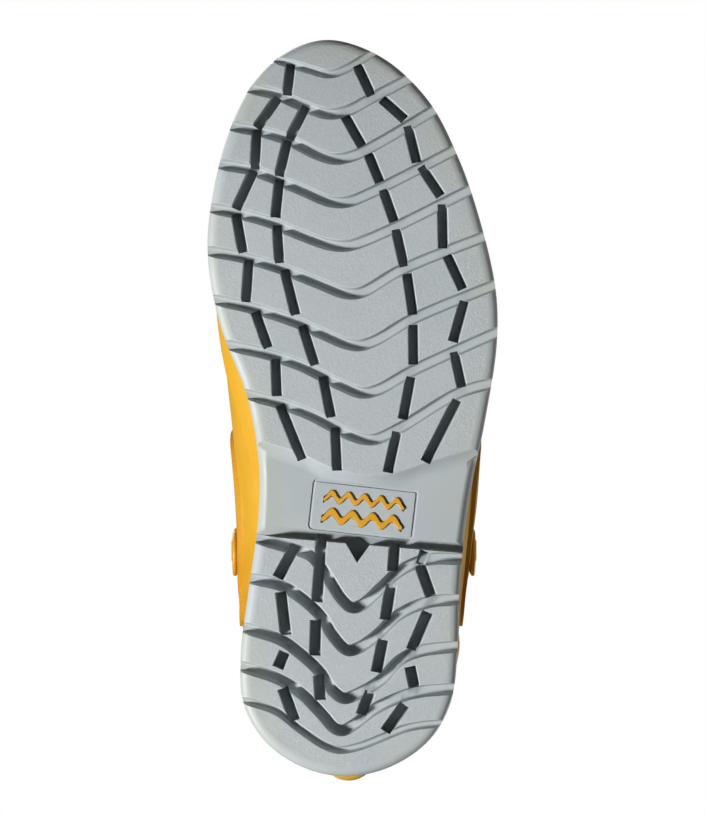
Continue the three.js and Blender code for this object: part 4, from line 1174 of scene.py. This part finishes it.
# %% Lining knit
def knitted(name):
    made, tree, shader, where = fresh(name, 0.95, Sheen_Weight=0.4, Sheen_Roughness=0.5)
    stitch_wide, stitch_high, mean_reach = 1.9, 1.7, 54  # mm; the reach is the leg's mean radius
    parts = node(tree, "SeparateXYZ", {"Vector": where}).outputs
    ahead = node(tree, "Math", {0: parts["Y"], 1: 0.031}, operation="SUBTRACT").outputs[0]
    beside = node(tree, "Math", {0: parts["X"], 1: 0.003}, operation="ADD").outputs[0]
    turn = node(tree, "Math", {0: ahead, 1: beside}, operation="ARCTAN2").outputs[0]
    column = node(tree, "Math", {0: turn, 1: mean_reach / stitch_wide}, operation="MULTIPLY").outputs[0]
    slope = node(tree, "Math", {0: column, 1: 0.5}, operation="PINGPONG").outputs[0]
    level = node(tree, "Math", {0: parts["Z"], 1: PER_MM / stitch_high}, operation="MULTIPLY").outputs[0]
    slant = node(tree, "Math", {0: slope, 1: 1.6}, operation="MULTIPLY").outputs[0]
    course = node(tree, "Math", {0: level, 1: slant}, operation="ADD").outputs[0]
    yarn = node(tree, "Math", {0: course, 1: 0.5}, operation="PINGPONG").outputs[0]
    fuller = node(tree, "Math", {0: slope, 1: 0.4}, operation="ADD").outputs[0]
    height = node(tree, "Math", {0: yarn, 1: fuller}, operation="MULTIPLY").outputs[0]

    greys = [(0.0, "#3E4549"), (0.2, "#5E666A"), (0.45, "#747C80")]
    tone = node(tree, "ValToRGB", {"Fac": height}, greys).outputs["Color"]
    fluff = {"Scale": PER_MM / 0.6, "Detail": 3, "Roughness": 0.7}
    fuzz = node(tree, "TexNoise", {**fluff, "Vector": where}).outputs["Fac"]
    share = node(tree, "MapRange", {"Value": fuzz, "To Max": 0.3}).outputs[0]
    fuzzy = {0: share, FIRST: tone, SECOND: linear("#8B9295")}
    colour = node(tree, "Mix", fuzzy, data_type="RGBA").outputs[MIXED]
    tree.links.new(colour, shader.inputs["Base Color"])
    ribs = node(tree, "Bump", {"Distance": 0.5 * MM, "Height": height}).outputs[0]
    hairs = node(tree, "Bump", {"Distance": 0.08 * MM, "Height": fuzz, "Normal": ribs}).outputs[0]
    tree.links.new(hairs, shader.inputs["Normal"])
    return made


lining_knit = knitted("bonded_cotton_jersey")

# %% [markdown]
# **Hidden layers.** The footbed is closed-cell foam under brushed cloth. Below it lie a pressed-fibre
# board, a steel shank and two foam fillers. They come to light when the footbed is lifted.


# %% Foam, cloth, board and steel
def foam(name, code, cell):
    made, tree, shader, where = fresh(name, 0.9)
    bubbles = node(tree, "TexVoronoi", {"Scale": PER_MM / cell, "Vector": where}).outputs["Distance"]
    tone = node(tree, "ValToRGB", {"Fac": bubbles}, [(0.0, "#24282A"), (0.5, code)]).outputs["Color"]
    tree.links.new(tone, shader.inputs["Base Color"])
    swell = node(tree, "TexNoise", {"Scale": PER_MM / 6, "Vector": where}).outputs["Fac"]
    pores = node(tree, "Bump", {"Distance": 0.25 * MM, "Height": bubbles}).outputs[0]
    uneven = node(tree, "Bump", {"Distance": 0.1 * MM, "Height": swell, "Normal": pores}).outputs[0]
    tree.links.new(uneven, shader.inputs["Normal"])
    return made


def brushed_cloth(name):
    made, tree, shader, where = fresh(name, 0.95, Sheen_Weight=0.5, Sheen_Roughness=0.6)
    thread = 1.2  # mm between threads
    threads = {"Scale": PER_MM / thread / 6.283, "Distortion": 0.6, "Vector": where}
    across_way = node(tree, "TexWave", threads, bands_direction="X").outputs["Fac"]
    long_way = node(tree, "TexWave", threads, bands_direction="Y").outputs["Fac"]
    weave = node(tree, "Math", {0: across_way, 1: long_way}, operation="MULTIPLY").outputs[0]
    brushed = {"Scale": PER_MM / 1.6, "Detail": 5, "Roughness": 0.75}
    nap = node(tree, "TexNoise", {**brushed, "Vector": where}).outputs["Fac"]
    greys = [(0.3, "#697175"), (0.6, "#868E92"), (0.8, "#9BA2A5")]
    tone = node(tree, "ValToRGB", {"Fac": nap}, greys).outputs["Color"]
    tree.links.new(tone, shader.inputs["Base Color"])
    woven = node(tree, "Bump", {"Distance": 0.12 * MM, "Height": weave}).outputs[0]
    napped = node(tree, "Bump", {"Distance": 0.2 * MM, "Height": nap, "Normal": woven}).outputs[0]
    tree.links.new(napped, shader.inputs["Normal"])
    return made


def fibre_board(name):
    made, tree, shader, where = fresh(name, 0.85)
    long_way = node(tree, "Mapping", {"Scale": (1.0, 0.12, 1.0), "Vector": where}).outputs[0]
    pressed = {"Scale": PER_MM / 0.9, "Detail": 5, "Roughness": 0.7}
    fibres = node(tree, "TexNoise", {**pressed, "Vector": long_way}).outputs["Fac"]
    browns = [(0.3, "#A58F68"), (0.55, "#C9B48F"), (0.8, "#DCCBA9")]
    tone = node(tree, "ValToRGB", {"Fac": fibres}, browns).outputs["Color"]
    tree.links.new(tone, shader.inputs["Base Color"])
    matted = node(tree, "Bump", {"Distance": 0.12 * MM, "Height": fibres}).outputs[0]
    tree.links.new(matted, shader.inputs["Normal"])
    return made


def rolled_steel(name):
    made, tree, shader, where = fresh(name, 0.34, metallic=1.0)
    long_way = node(tree, "Mapping", {"Scale": (1.0, 0.02, 1.0), "Vector": where}).outputs[0]
    lines = {"Scale": PER_MM / 0.4, "Detail": 3, "Roughness": 0.6}
    marks = node(tree, "TexNoise", {**lines, "Vector": long_way}).outputs["Fac"]
    tone = node(tree, "ValToRGB", {"Fac": marks}, [(0.3, "#8E9295"), (0.7, "#B4B8BA")]).outputs["Color"]
    tree.links.new(tone, shader.inputs["Base Color"])
    rub = node(tree, "MapRange", {"Value": marks, "To Min": 0.28, "To Max": 0.42}).outputs[0]
    tree.links.new(rub, shader.inputs["Roughness"])
    drawn = node(tree, "Bump", {"Distance": 0.01 * MM, "Height": marks}).outputs[0]
    tree.links.new(drawn, shader.inputs["Normal"])
    return made


footbed_eva = foam("closed_cell_foam", "#4A5154", 0.9)
filler_foam = foam("filler_foam", "#3C4245", 1.4)
sock_cloth = brushed_cloth("brushed_sock_cloth")
board_fibre = fibre_board("pressed_fibre_board")
shank_steel = rolled_steel("rolled_spring_steel")
print("materials:", len(bpy.data.materials))

# %% [markdown]
# ## Putting it together
# Each piece gets its finish, the body that it rides on and the solid that it stands for. The sole takes
# two finishes: its flat pad faces are etched and all the rest is polished.


# %% Dressing the pieces
def dress(piece, material, cad_node, body_name, degrees=35):
    piece.data.materials.clear()
    piece.data.materials.append(material)
    smooth(piece, degrees)
    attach(piece, body_name)
    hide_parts(cad_node)


dress(sole, polished_rubber, "outsole", "boot")
sole.data.materials.append(etched_rubber)
for face in sole.data.polygons:
    x, y, z = face.center / MM
    face.material_index = int(face.normal.z < -0.93 and z - spring(y) < 0.12)
for cad_node, piece in {**yellow_pieces, **keepers}.items():
    dress(piece, yellow_rubber, cad_node, "boot")
for side_name, piece in loops.items():
    dress(piece, yellow_rubber, "pull_loop_" + side_name, "loop_" + side_name, 50)
for name, piece in wave_pieces.items():
    dress(piece, inlay_rubber, name, "boot")
dress(lining, lining_knit, "lining", "boot")
dress(footbed_foam, footbed_eva, "footbed_foam", "footbed")
dress(footbed_cover, sock_cloth, "footbed_cover", "footbed")
hidden_layers = {
    "insole_board": board_fibre,
    "shank": shank_steel,
    "heel_filler": filler_foam,
    "forefoot_filler": filler_foam,
}
for name, material in hidden_layers.items():
    nodes[name].data.materials.clear()
    nodes[name].data.materials.append(material)
